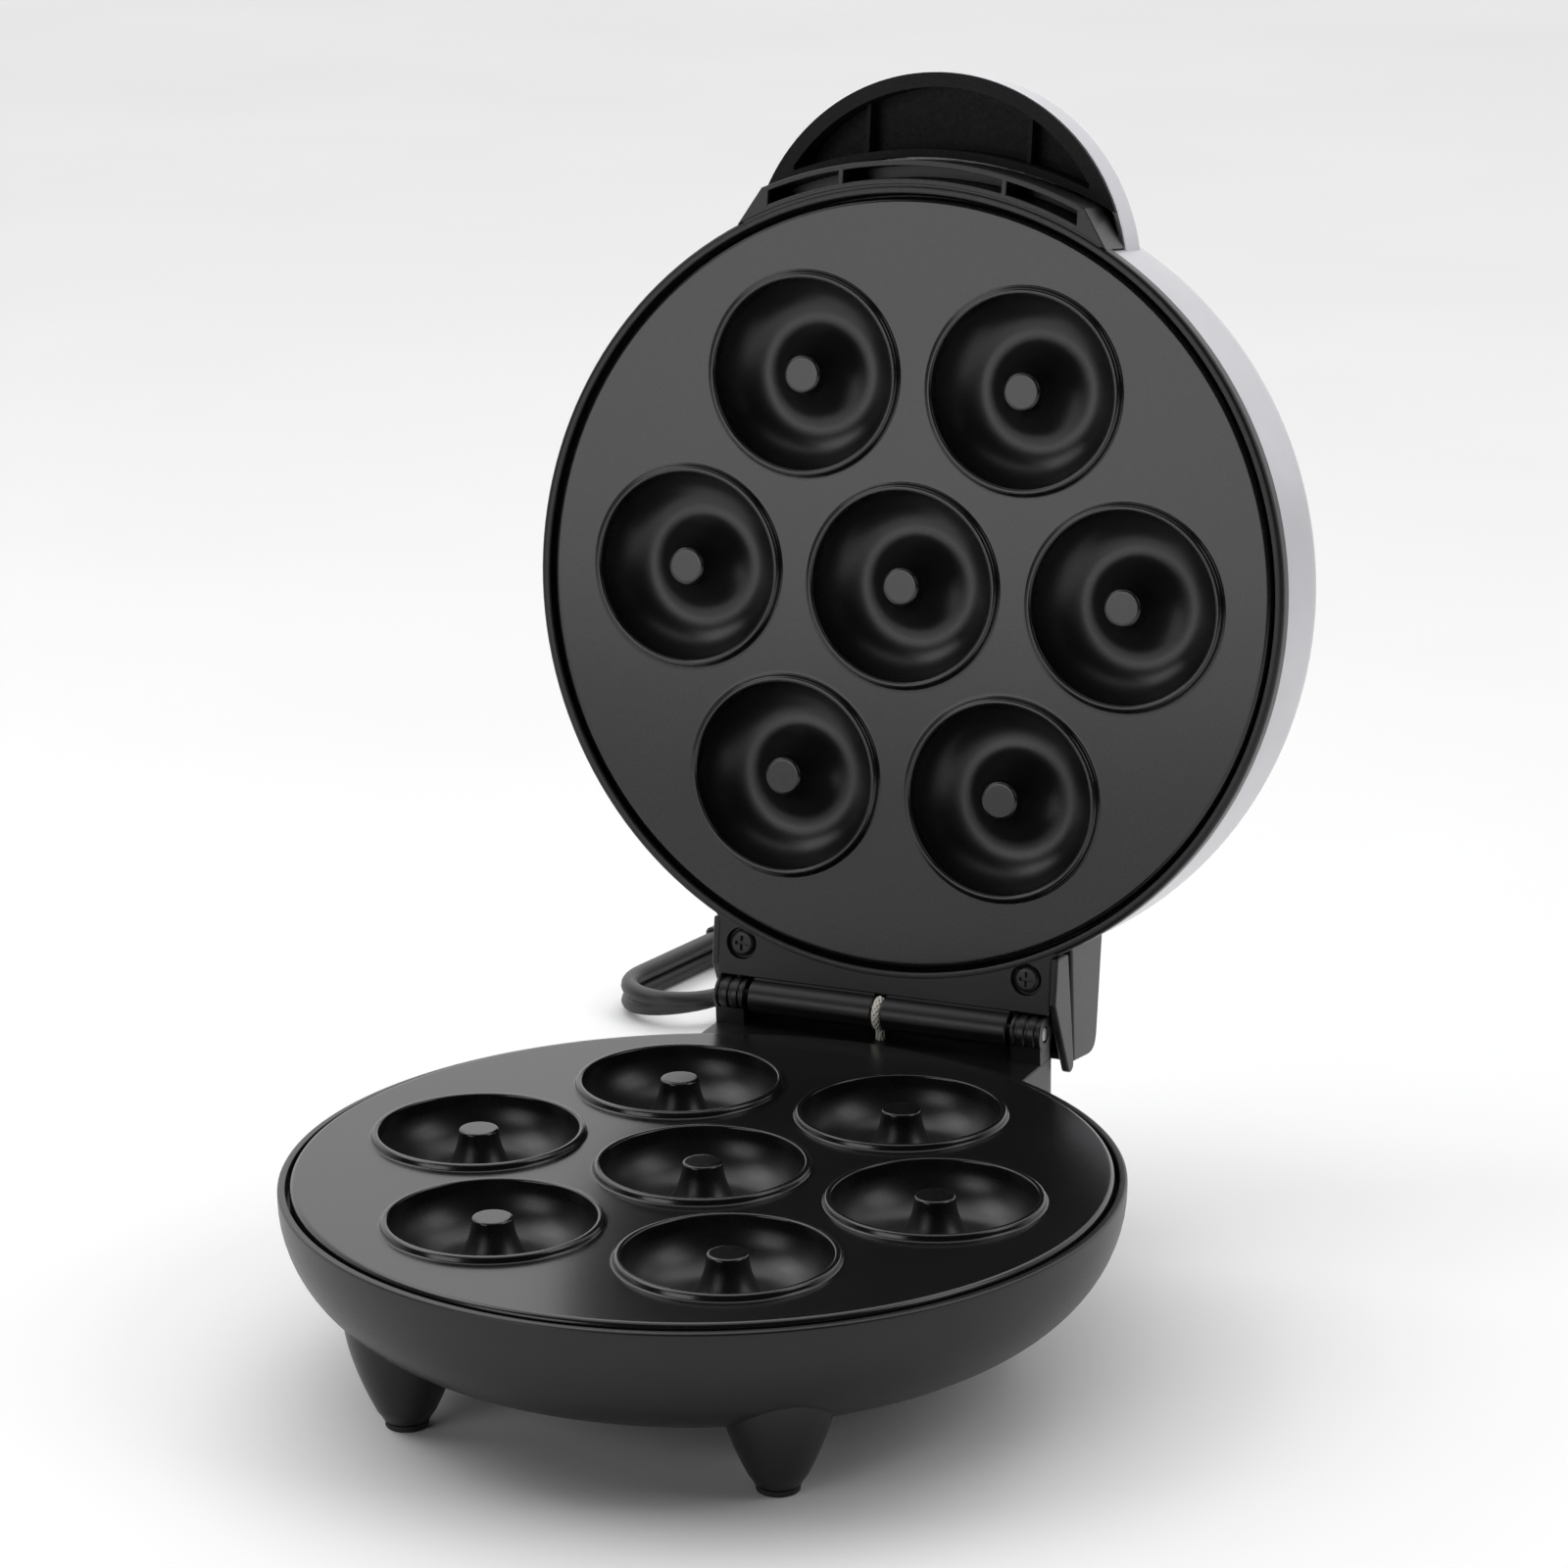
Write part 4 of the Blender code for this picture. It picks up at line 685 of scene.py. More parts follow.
def tube(name, routes, radius, body, slot, *nodes, sides=6):
    """Round tubes along lists of points, as one curve object."""
    curve = bpy.data.curves.new(name, "CURVE")
    curve.dimensions = "3D"
    curve.bevel_depth = radius
    curve.bevel_resolution = sides
    curve.use_fill_caps = True
    for route in routes:
        spline = curve.splines.new("POLY")
        spline.points.add(len(route) - 1)
        spline.use_smooth = True
        for point, place in zip(spline.points, route):
            point.co = (*place, 1.0)
    return settle(new_object(name, curve), body, slot, nodes)


cord = tube(
    "mains_cord",
    [smooth_route(behind(LEAD) + hank_points() + behind(TAIL), ROUTE_SPACING)],
    CORD_RADIUS,
    "base",
    "cord_jacket",
    "cord_lead",
    "cord_hank",
    "cord_tail",
)

COLLAR_RADIUS = 0.0062
COLLAR_WIDTH = 0.0030
RELIEF_NECK = 0.0045
RELIEF_RIBS = 6


def strain_relief():
    """A tapering sleeve with ribs, and a collar on each side of the hinge block's back."""
    slot_end = COLLAR_WIDTH + PEDESTAL_WALL + 2 * GAP
    collar = slot_end + COLLAR_WIDTH
    bore = CORD_RADIUS + GAP / 2
    profile = [(bore, 0.0), (COLLAR_RADIUS - 0.0004, 0.0), (COLLAR_RADIUS, 0.0006)]
    profile += [(COLLAR_RADIUS, COLLAR_WIDTH - 0.0004), (RELIEF_NECK, COLLAR_WIDTH)]
    profile += [(RELIEF_NECK, slot_end)]
    end = [(COLLAR_RADIUS, collar - 0.0026, 0.0), (COLLAR_RADIUS, collar, 0.0005)]
    profile += rounded(end)[:5]
    length = RELIEF_HIGH.y - RELIEF_LOW.y
    pitch = (length - collar) / RELIEF_RIBS
    for k in range(RELIEF_RIBS):
        low = collar + k * pitch
        share = k / RELIEF_RIBS
        neck = 0.0043 - 0.0006 * share
        crest = 0.0056 - 0.0016 * share
        profile += [(neck, low + 0.1 * pitch), (neck, low + 0.35 * pitch)]
        profile += [(crest - 0.0003, low + 0.45 * pitch), (crest, low + 0.55 * pitch)]
        profile += [(crest, low + 0.85 * pitch), (crest - 0.0003, low + 0.98 * pitch)]
    profile.append((bore, length))
    return along_y(lathe(profile, MEDIUM), (CORD_EXIT_X, RELIEF_LOW.y, EXIT_Z))


add("strain_relief_sleeve", strain_relief(), "base", "strain_relief_rubber", "strain_relief")

PLUG_LOW, PLUG_HIGH = corners("plug_body")
PLUG_X = (PLUG_LOW.x + PLUG_HIGH.x) / 2


def plug_shape():
    """A moulded grip: round at its neck, ridged, then a rounded block at its face."""
    length = PLUG_HIGH.y - PLUG_LOW.y
    wide = (PLUG_HIGH.x - PLUG_LOW.x) / 2
    tall = (PLUG_HIGH.z - PLUG_LOW.z) / 2
    neck = CORD_RADIUS * 1.3
    bm = bmesh.new()
    rings = []
    stations = 44
    for k in range(stations + 1):
        share = k / stations
        grow = min(1.0, max(0.0, (share - 0.12) / 0.42))
        grow = grow * grow * (3 - 2 * grow)
        ridge = 0.0004 * math.sin(share * 60.0) * (0.25 < share < 0.72)
        end = min(1.0, (1.0 - share) / 0.045) ** 0.5 if share < 1.0 else 0.0
        tuck = 0.0012 * (1.0 - end)
        half_x = neck + (wide - neck) * grow + ridge - tuck
        half_z = neck + (tall - neck) * grow - tuck
        power = 2.0 + 2.6 * grow
        middle = TABLE + max(CORD_RADIUS, half_z + tuck)
        ring = []
        for step in range(MEDIUM):
            turn = 2 * math.pi * step / MEDIUM
            cos, sin = math.cos(turn), math.sin(turn)
            x = math.copysign(abs(cos) ** (2 / power), cos) * half_x
            z = math.copysign(abs(sin) ** (2 / power), sin) * half_z
            ring.append(bm.verts.new((PLUG_X + x, PLUG_LOW.y + length * share, middle + z)))
        rings.append(ring)
    for lower, upper in zip(rings, rings[1:]):
        join_rings(bm, lower, upper)
    bm.faces.new(rings[0])
    bm.faces.new(rings[-1])
    return bm


def blade(side):
    """A flat blade with a rounded tip and a round hole near it."""
    low, high = corners(f"plug_blade_{side}")
    middle = (low.z + high.z) / 2
    half = (high.z - low.z) / 2
    outline = [(low.y, middle - half)]
    outline += arc((high.y - half, middle), half, -math.pi / 2, math.pi / 2, 12)
    outline += [(low.y, middle + half)]
    hole = cylinder(0.0015, low.x - GAP, high.x + GAP)
    along_x(hole, high.y - 1.3 * half, middle)
    return carved(sideways(outline, low.x, high.x), hole)


plug = add("plug_grip", plug_shape(), "base", "cord_jacket", "plug_body")
blades = [
    add(f"blade_{side}", blade(side), "base", "plug_blades", f"plug_blade_{side}", edge=0.0002)
    for side in ("left", "right")
]

STRAP_THICKNESS = 0.0007
STRAP_WIDTH = 0.0050


def tie_strap():
    """A flat strap over the hank, down to the table on both sides."""
    half = HANK_FOLD_RADIUS + CORD_RADIUS + GAP
    top = TABLE + HANK_TURNS * CORD_DIAMETER + GAP
    thick = STRAP_THICKNESS
    bend = CORD_RADIUS
    points = [(half + thick, TABLE, 0.0), (half + thick, top + thick, bend)]
    points += [(-half - thick, top + thick, bend), (-half - thick, TABLE, 0.0)]
    points += [(-half, TABLE, 0.0), (-half, top, bend), (half, top, bend), (half, TABLE, 0.0)]
    bm = prism(rounded(points), -STRAP_WIDTH / 2, STRAP_WIDTH / 2)
    moved(bm, Matrix.Rotation(math.pi / 2, 4, "X"))
    turn = Matrix.Rotation(HANK_ANGLE - math.pi / 2, 4, "Z")
    return moved(bm, Matrix.Translation(HANK_MIDDLE) @ turn)


strap = add("tie_strap", tie_strap(), "base", "tie_wrap", "cord_tie", edge=0.0002)


def twisted_ends():
    """The strap's two ends, twisted together on top of the hank."""
    top = TABLE + HANK_TURNS * CORD_DIAMETER + 0.0022
    routes = []
    for start in (0.0, math.pi):
        route = []
        for k in range(40):
            share = k / 39
            turn = start + share * 7 * math.pi
            wide = 0.0009 + 0.0012 * max(0.0, share - 0.85) / 0.15
            place = HANK_MIDDLE + (0.002 + 0.014 * share) * HANK_ALONG
            place += wide * math.cos(turn) * HANK_LEFT
            route.append((place.x, place.y, top + wide * math.sin(turn)))
        routes.append(route)
    return routes


twist = tube("tie_twist", twisted_ends(), STRAP_THICKNESS, "base", "tie_wrap", sides=3)


# ---- cooking plates
MOULDS = [(0.0, 0.0)] + [
    (DONUT_PITCH * math.cos(k * math.pi / 3), DONUT_PITCH * math.sin(k * math.pi / 3))
    for k in range(6)
]


def mould_profile():
    """From the flat plate over the raised ring, down the trough and up the post."""
    inner = RING_RADIUS - 1.3 * RING_WIDTH
    lip = [(RING_RADIUS + 0.0012, 0.0, 0.0), (RING_RADIUS, 0.0, 0.0005)]
    lip += [(RING_RADIUS - 0.3 * RING_WIDTH, RING_HEIGHT, 0.0007)]
    lip += [(inner, RING_HEIGHT, 0.0007), (inner, -0.0002, 0.0)]
    profile = rounded(lip)[1:-1]
    for k in range(1, 15):
        turn = math.pi / 2 * k / 14
        radius = TROUGH_RADIUS + (inner - TROUGH_RADIUS) * math.cos(turn)
        profile.append((radius, -TROUGH_DEPTH * math.sin(turn)))
    flare = TROUGH_RADIUS - POST_RADIUS - POST_TAPER
    height = TROUGH_DEPTH + RING_HEIGHT - 0.0007
    for k in range(1, 15):
        rise = (k / 14) ** 1.6
        left = 1.0 - rise
        radius = POST_RADIUS + POST_TAPER * left + flare * (1.0 - math.sqrt(1.0 - left**2))
        profile.append((radius, -TROUGH_DEPTH + height * rise))
    top = arc((POST_RADIUS - 0.0007, RING_HEIGHT - 0.0007), 0.0007, 0.0, math.pi / 2, 4)
    profile += top[1:] + [(POST_RADIUS - 0.0012, RING_HEIGHT), (0.0, RING_HEIGHT)]
    return profile


def cup_profile():
    """The underside of one mould."""
    reach = RING_RADIUS - TROUGH_RADIUS - GAP
    depth = TROUGH_DEPTH + PLATE_THICKNESS
    turns = [math.pi / 2 * k / 6 for k in range(1, 7)]
    cup = [(TROUGH_RADIUS + reach * math.cos(t), -depth * math.sin(t)) for t in turns]
    return [point for point in cup if point[1] < -PLATE_THICKNESS] + [(0.0, -depth)]


def sink(bm, loop, centre, profile, sides):
    """Rows of faces from a loop along a profile."""
    for radius, height in profile:
        lower = loop_at(bm, centre, radius, height, sides)
        join_rings(bm, loop, lower)
        loop = lower


def edges_of(bm, loop):
    return [bm.edges.new((loop[k - 1], loop[k])) for k in range(len(loop))]


def cooking_plate():
    """A cast plate with its moulds, their cups below, and its rounded outer edge."""
    bm = bmesh.new()
    flat_radius = PLATE_RADIUS - PLATE_EDGE
    top = loop_at(bm, (0, 0), flat_radius - 0.0006, 0.0, ROUND)
    below = loop_at(bm, (0, 0), PLATE_RADIUS - PLATE_THICKNESS, -PLATE_THICKNESS, ROUND)
    edges = edges_of(bm, top)
    edges_below = edges_of(bm, below)
    sinks = []
    for centre in MOULDS:
        mouth = loop_at(bm, centre, RING_RADIUS + 0.0012, 0.0, MEDIUM)
        cup = loop_at(bm, centre, RING_RADIUS, -PLATE_THICKNESS, SMALL)
        edges += edges_of(bm, mouth)
        edges_below += edges_of(bm, cup)
        sinks.append((mouth, centre, mould_profile(), MEDIUM))
        sinks.append((cup, centre, cup_profile(), SMALL))
    bmesh.ops.triangle_fill(bm, edges=edges, use_beauty=True)
    bmesh.ops.triangle_fill(bm, edges=edges_below, use_beauty=True)
    for mouth, centre, profile, sides in sinks:
        sink(bm, mouth, centre, profile, sides)
    rim = arc((flat_radius, -PLATE_EDGE), PLATE_EDGE, math.pi / 2, 0.0, 8)
    rim += [(PLATE_RADIUS, -PLATE_SKIRT), (PLATE_RADIUS - PLATE_THICKNESS, -PLATE_SKIRT)]
    ring = top
    for radius, height in rim:
        lower = loop_at(bm, (0, 0), radius, height, ROUND)
        join_rings(bm, ring, lower)
        ring = lower
    join_rings(bm, ring, below)
    return bm


add("lower_cooking_plate", cooking_plate(), "base", "nonstick_coating", "lower_plate")
add("upper_cooking_plate", turned_over(cooking_plate()), "lid", "nonstick_coating", "upper_plate")


# ---- base
BOWL_DROP = 0.0024  # upright part of the rim above the bowl's curve
BOWL_STEPS = 30


def bowl(offset):
    """Points down the bowl's side, moved outwards by offset."""
    points = []
    top = HOUSING_RIM - BOWL_DROP
    reach = HOUSING_RADIUS - HOUSING_FLAT + offset
    drop = HOUSING_DEPTH + top + offset
    for k in range(BOWL_STEPS + 1):
        turn = math.pi / 2 * (1.0 - (1.0 - k / BOWL_STEPS) ** 1.5)
        radius = HOUSING_FLAT + reach * max(0.0, math.cos(turn)) ** 0.665
        points.append((radius, top - drop * math.sin(turn) ** 1.024))
    return points


def housing():
    """The bowl, with a rounded rim and the ledge that the plate rests on."""
    ledge = -PLATE_SKIRT - GAP
    profile = [(REVEAL_RADIUS, ledge)]
    profile += rounded(
        [(REVEAL_RADIUS, ledge, 0.0), (REVEAL_RADIUS, HOUSING_RIM, 0.0004),
         (HOUSING_RADIUS, HOUSING_RIM, 0.0008), (HOUSING_RADIUS, HOUSING_RIM - BOWL_DROP, 0.0)]
    )[1:-1]
    profile += bowl(0.0)
    profile += [(HOUSING_OPENING, -HOUSING_DEPTH)]
    profile += [(HOUSING_OPENING, HOUSING_WALL - HOUSING_DEPTH)]
    low_ledge = ledge - LEDGE_THICKNESS
    inner = [point for point in bowl(-HOUSING_WALL)[::-1] if point[1] < low_ledge - 0.0005]
    profile += inner
    profile += [(inner[-1][0], low_ledge), (LEDGE_INNER, low_ledge), (LEDGE_INNER, ledge)]
    return lathe(profile)


def bowl_solid():
    """The space that the bowl takes up, for trimming what stands against it."""
    side = bowl(-HOUSING_WALL / 2)
    return lathe([(0.0, HOUSING_RIM), (side[0][0], HOUSING_RIM)] + side + [(0.0, side[-1][1])])


def foot_bottom():
    """The rounded lower edge of a leg, from its middle outwards."""
    edge = 0.0008
    bend = arc((FOOT_RADIUS - edge, FOOT_LOW + edge), edge, -math.pi / 2, 0.0, 4)
    return [(0.0, FOOT_LOW)] + bend


def front_leg(centre):
    """A leg that swells from its tip up to the bowl."""
    profile = foot_bottom()
    for k in range(2, 21):
        share = k / 20
        radius = FOOT_RADIUS + (LEG_TOP_RADIUS - FOOT_RADIUS) * (1.0 - (1.0 - share) ** 1.6)
        profile.append((radius, FOOT_LOW + (LEG_HEIGHT - PAD_HEIGHT) * share))
    profile.append((0.0, profile[-1][1]))
    return carved(lathe(profile, MEDIUM, centre), bowl_solid())


def rear_foot(centre):
    """A short foot that widens up to the hinge block."""
    top = PEDESTAL_LOW
    profile = foot_bottom()
    profile += [(HEEL_RADIUS - 0.0006, top - 0.0010), (HEEL_RADIUS, top), (0.0, top)]
    return lathe(profile, MEDIUM, centre)


def pad(centre):
    """A rubber pad with a rounded edge, hollowed beneath, and a stem up into its leg."""
    top = TABLE + PAD_HEIGHT
    hollow = TABLE + 0.0004
    profile = [(0.0, hollow), (0.0022, hollow), (0.0026, TABLE)]
    profile += arc((PAD_RADIUS - 0.0006, TABLE + 0.0006), 0.0006, -math.pi / 2, 0.0, 4)
    profile += [(PAD_RADIUS, top), (PAD_STEM, top), (PAD_STEM, top + 0.0030), (0.0, top + 0.0030)]
    return lathe(profile, SMALL, centre)


def middle_of(node):
    low, high = corners(node)
    return ((low.x + high.x) / 2, (low.y + high.y) / 2)


add("housing_bowl", housing(), "base", "black_housing", "base_housing")
for side in ("left", "right"):
    front = middle_of(f"front_pad_{side}")
    rear = middle_of(f"rear_pad_{side}")
    add(f"leg_{side}", front_leg(front), "base", "black_housing", f"front_leg_{side}")
    add(f"heel_{side}", rear_foot(rear), "base", "black_housing", f"rear_foot_{side}")
    for place, centre in (("front", front), ("rear", rear)):
        add(f"{place}_rubber_{side}", pad(centre), "base", "rubber_pad", f"{place}_pad_{side}")


def cross_screw(centre, radius, low, high, shank):
    """A pan-head screw pointing up, with a cross recess in its head."""
    rim = high - 0.35 * (high - low)
    profile = rounded([(0.0, low, 0.0), (radius * 0.8, low, 0.0006), (radius, rim, 0.0004),
                       (radius, high, 0.0), (SHANK_RADIUS, high, 0.0), (SHANK_RADIUS, shank, 0.0),
                       (0.0, shank, 0.0)])
    head = lathe(profile, SMALL, centre)
    depth = low + 0.75 * (high - low)
    arms = []
    for half in ((0.55 * radius, 0.13 * radius), (0.13 * radius, 0.55 * radius)):
        arms.append(prism(rectangle(centre, *half), low - GAP, depth))
    return carved(head, *arms)


def bottom_cover():
    """A shallow dished cover, with a raised ring on its underside."""
    face = -HOUSING_DEPTH - GAP
    low = face - 0.0020
    edge = HOUSING_FLAT - 0.0015
    points = [(0.0, low, 0.0), (0.0300, low, 0.0004), (0.0306, low - 0.0004, 0.0003),
              (0.0326, low - 0.0004, 0.0003), (0.0332, low, 0.0004), (edge, low, 0.0010),
              (edge, face, 0.0), (0.0, face, 0.0)]
    return lathe(rounded(points))


add("base_cover", bottom_cover(), "base", "black_housing", "bottom_cover")
for number in range(1, 5):
    node = f"bottom_cover_screw_{number}"
    low, high = corners(node)
    bm = cross_screw(middle_of(node), SCREW_HEAD, low.z, low.z + SCREW_HEAD_HEIGHT, high.z)
    add(f"cover_screw_{number}", bm, "base", "zinc_steel", node)


def pedestal():
    """The block behind the bowl that carries the hinge, open at the cord's hole."""
    half = KNUCKLE_ENDS[1]
    front = HOUSING_FLAT + 4 * PEDESTAL_WALL
    points = [(-half, front, 0.0), (half, front, 0.0), (half, PEDESTAL_BACK_Y, 0.0060)]
    points += [(-half, PEDESTAL_BACK_Y, 0.0060)]
    hole = cylinder(RELIEF_NECK + GAP, -0.008, 0.008)
    along_y(hole, (CORD_EXIT_X, PEDESTAL_BACK_Y, EXIT_Z))
    wall = PEDESTAL_WALL
    inside = [(-half + wall, front, 0.0), (half - wall, front, 0.0)]
    inside += [(half - wall, PEDESTAL_BACK_Y - wall, 0.0040)]
    inside += [(wall - half, PEDESTAL_BACK_Y - wall, 0.0040)]
    return carved(
        prism(rounded(points, 6), PEDESTAL_LOW, PEDESTAL_TOP),
        prism(rounded(inside), PEDESTAL_LOW + wall, PEDESTAL_TOP - wall),
        hole,
        bowl_solid(),
        edge=0.0008,
    )


add("hinge_block", pedestal(), "base", "black_housing", "hinge_pedestal")


# ---- hinge
def barrel(ends, profile_between=()):
    """A bored cylinder along the hinge; profile_between gives its ribs."""
    low, high = ends
    outer = [(BARREL_RADIUS, low, 0.0005), *profile_between, (BARREL_RADIUS, high, 0.0005)]
    points = [(BORE_RADIUS, low, 0.0003), *outer, (BORE_RADIUS, high, 0.0003)]
    return along_x(lathe(rounded(points, 3), MEDIUM), HINGE.y, HINGE.z)


def knuckle(sign):
    """An end knuckle: ribs round it, and a web down to the hinge block."""
    ends = sorted(sign * x for x in KNUCKLE_ENDS)
    ribs = []
    pitch = (ends[1] - ends[0]) / KNUCKLE_RIBS
    for k in range(KNUCKLE_RIBS):
        low = ends[0] + k * pitch
        for share, groove in ((0.30, 0.0), (0.40, 0.0005), (0.62, 0.0005), (0.72, 0.0)):
            ribs.append((BARREL_RADIUS - groove, low + share * pitch, 0.0001))
    low, high = PEDESTAL_TOP - 0.0002, HINGE.z - 0.0030
    outline = [(HINGE.y - 0.0035, low), (HINGE.y + 0.0035, low)]
    outline += [(HINGE.y + 0.0038, high), (HINGE.y - 0.0038, high)]
    web = sideways(outline, ends[0] + 0.0002, ends[1] - 0.0002)
    return merged(barrel(ends, ribs), web)


for side, sign in (("left", -1), ("right", 1)):
    add(f"end_knuckle_{side}", knuckle(sign), "base", "black_housing", f"hinge_knuckle_{side}")

PIN_END = KNUCKLE_ENDS[1] - GAP
PIN_OUTLINE = [(0.0, -PIN_END, 0.0), (PIN_RADIUS, -PIN_END, 0.0004)]
PIN_OUTLINE += [(PIN_RADIUS, PIN_END, 0.0004), (0.0, PIN_END, 0.0)]
pin = along_x(lathe(rounded(PIN_OUTLINE), SMALL), HINGE.y, HINGE.z)
add("pin", pin, "base", "zinc_steel", "hinge_pin")


def sleeve_strands():
    """Threads wound both ways round the wire's curl over the hinge pin."""
    bend = PIN_RADIUS + 2 * GAP + SLEEVE_RADIUS
    path = [(HINGE.y, PEDESTAL_TOP - PEDESTAL_WALL)]
    path += arc((HINGE.y, HINGE.z), bend, math.radians(-100), math.radians(-270), 24)
    path = smooth_route([(0.0, y, z) for y, z in path], 0.0002)
    routes = []
    across = Vector((1.0, 0.0, 0.0))
    for way in (-1, 1):
        for start in range(6):
            route = []
            for k, place in enumerate(path[:-1]):
                outward = across.cross(path[k + 1] - place).normalized()
                turn = way * k * 0.17 + start * math.pi / 3
                aside = math.cos(turn) * across + math.sin(turn) * outward
                route.append(place + SLEEVE_RADIUS * aside)
            routes.append(route)
    return routes


tube("braided_sleeve", sleeve_strands(), THREAD_RADIUS, "base", "glass_braid", sides=1)


# ---- lid frame
def frame_ring():
    """The ring round the upper plate, with the ledge that the plate bears on."""
    snug = PLATE_RADIUS + 1.5 * GAP
    step = FRAME_TOP - 0.0010
    inside = COVER_RADIUS - COVER_WALL - GAP
    ledge = PLATE_SPACING + PLATE_SKIRT + GAP
    top = ledge + LEDGE_THICKNESS
    points = [(REVEAL_RADIUS, FRAME_LOW, 0.0006), (FRAME_RADIUS, FRAME_LOW, 0.0019)]
    points += [(FRAME_RADIUS, FRAME_TOP, 0.0004), (inside, FRAME_TOP, 0.0)]
    points += [(inside, top, 0.0), (LEDGE_INNER, top, 0.0)]
    points += [(LEDGE_INNER, ledge, 0.0), (snug, ledge, 0.0), (snug, step, 0.0)]
    points += [(REVEAL_RADIUS, step - 0.0007, 0.0)]
    return lathe(rounded(points))


def rear_plate():
    """The flat piece behind the ring, its corners running smoothly into the ring."""
    half = REAR_HALF_WIDTH
    notch_x = half + REAR_NOTCH
    reach = FRAME_RADIUS + REAR_NOTCH
    notch_y = math.sqrt(reach**2 - notch_x**2)
    lean = math.atan2(notch_y, notch_x)
    touch = Vector((notch_x, notch_y)) * FRAME_RADIUS / reach
    right = arc((notch_x, notch_y), REAR_NOTCH, math.pi + lean, math.pi, 6)
    left = [(-x, y) for x, y in reversed(right)]
    swing = math.asin(touch.x / RING_MIDDLE)
    inner = arc((0, 0), RING_MIDDLE, math.pi / 2 + swing, math.pi / 2 - swing, 30)
    outline = inner + right + [(half, REAR_BACK_Y), (-half, REAR_BACK_Y)] + left
    recesses = []
    well_floor = FRAME_LOW + 0.0016
    for sign in (-1, 1):
        well = [(0.0, FRAME_LOW - GAP), (WELL_RADIUS + 0.0007, FRAME_LOW - GAP)]
        well += [(WELL_RADIUS + 0.0002, FRAME_LOW + GAP), (WELL_RADIUS, well_floor)]
        well.append((0.0, well_floor))
        recesses.append(lathe(well, MEDIUM, (sign * SCREW_X, SCREW_Y)))
    plate = prism(outline, FRAME_LOW + 0.00005, FRAME_LOW + REAR_THICKNESS)
    return carved(plate, *recesses, edge=0.0004)


def hinge_tube(sign):
    """A hinge tube and the web that joins it to the rear plate."""
    ends = sorted(sign * x for x in TUBE_ENDS)
    front = REAR_BACK_Y - 0.0010
    low, high = FRAME_LOW + 0.0003, FRAME_LOW + 0.0027
    outline = [(front, low), (HINGE.y, low), (HINGE.y, high), (front, high)]
    web = sideways(outline, ends[0] + 0.0003, ends[1] - 0.0003)
    return merged(barrel(ends), web)


def cheek(sign):
    """A side plate that runs back past the hinge to a rounded hook."""
    inner = REAR_HALF_WIDTH - GAP
    outer = REAR_HALF_WIDTH + CHEEK_THICKNESS
    front = math.sqrt(FRAME_RADIUS**2 - REAR_HALF_WIDTH**2)
    tip = (REAR_COVER_BACK_Y, REAR_COVER_EDGES[1] - 0.0035)
    low = FRAME_LOW + GAP
    outline = [(front, low), (REAR_BACK_Y - 0.0030, low)]
    outline += arc(tip, 0.0022, math.radians(-50), math.radians(110), 8)
    outline += [(front, REAR_COVER_EDGES[0] - CHEEK_THICKNESS)]
    ends = sorted((sign * inner, sign * outer))
    return sideways(outline, *ends)


FRONT = -math.pi / 2  # the direction of the handle, as an angle from +X


def crossing(circle, x):
    """The angle at which a circle round the middle, at the front, reaches x."""
    return -math.acos(x / circle)


def between_arcs(outer, inner, left, right, low, high, outer_y=0.0, steps=16):
    """The solid between two arcs that face the front, from left to right."""
    outline = arc((0, outer_y), outer, crossing(outer, left), crossing(outer, right), steps)
    outline += arc((0, 0), inner, crossing(inner, right), crossing(inner, left), steps)
    return prism(outline, low, high)


def between_ribs(reach, half):
    """Left and right ends of the three gaps beside and between two ribs."""
    return ((-reach, -RIB_X - half), (-RIB_X + half, RIB_X - half), (RIB_X + half, reach))


def band():
    """The curved band below the handle, with three pockets between its ribs."""
    outline = arc((0, 0), BAND_RADIUS, FRONT - BAND_HALF_ANGLE, FRONT + BAND_HALF_ANGLE, 40)
    outline += arc((0, 0), BAND_INNER, FRONT + BAND_END_ANGLE, FRONT - BAND_END_ANGLE, 44)
    outer = BAND_RADIUS - BAND_WALL
    inner = BAND_INNER + BAND_WALL
    reach = outer * math.sin(BAND_HALF_ANGLE) - BAND_WALL
    low, high = FRAME_LOW - GAP, BAND_TOP - BAND_WALL
    spans = between_ribs(reach, BAND_WALL / 2)
    pockets = [between_arcs(outer, inner, *span, low, high) for span in spans]
    return carved(prism(outline, FRAME_LOW, BAND_TOP), *pockets)


def band_root():
    """The bar that joins the band to the ring."""
    swing = BAND_END_ANGLE - math.radians(1.0)
    outline = arc((0, 0), BAND_INNER + GAP, FRONT - swing, FRONT + swing, 40)
    outline += arc((0, 0), RING_MIDDLE, FRONT + swing, FRONT - swing, 40)
    return prism(outline, FRAME_LOW + 0.0002, FRAME_TOP - GAP)


add("lid_ring", frame_ring(), "lid", "black_housing", "lid_frame")
add("lid_rear_plate", rear_plate(), "lid", "black_housing", "lid_frame")
add("band_pockets", band(), "lid", "black_housing", "lid_frame", edge=0.00025, segments=2)
add("band_joint", band_root(), "lid", "black_housing", "lid_frame")
for side, sign in (("left", -1), ("right", 1)):
    add(f"tube_{side}", hinge_tube(sign), "lid", "black_housing", "lid_frame")
    add(f"cheek_{side}", cheek(sign), "lid", "black_housing", "lid_frame", edge=0.0005)
    low = FRAME_LOW + 0.0004
    bm = cross_screw((sign * SCREW_X, SCREW_Y), REAR_SCREW_HEAD, low, low + 0.0011, FRAME_TOP)
    add(f"rear_screw_{side}", bm, "lid", "blackened_steel", f"hinge_screw_{side}")


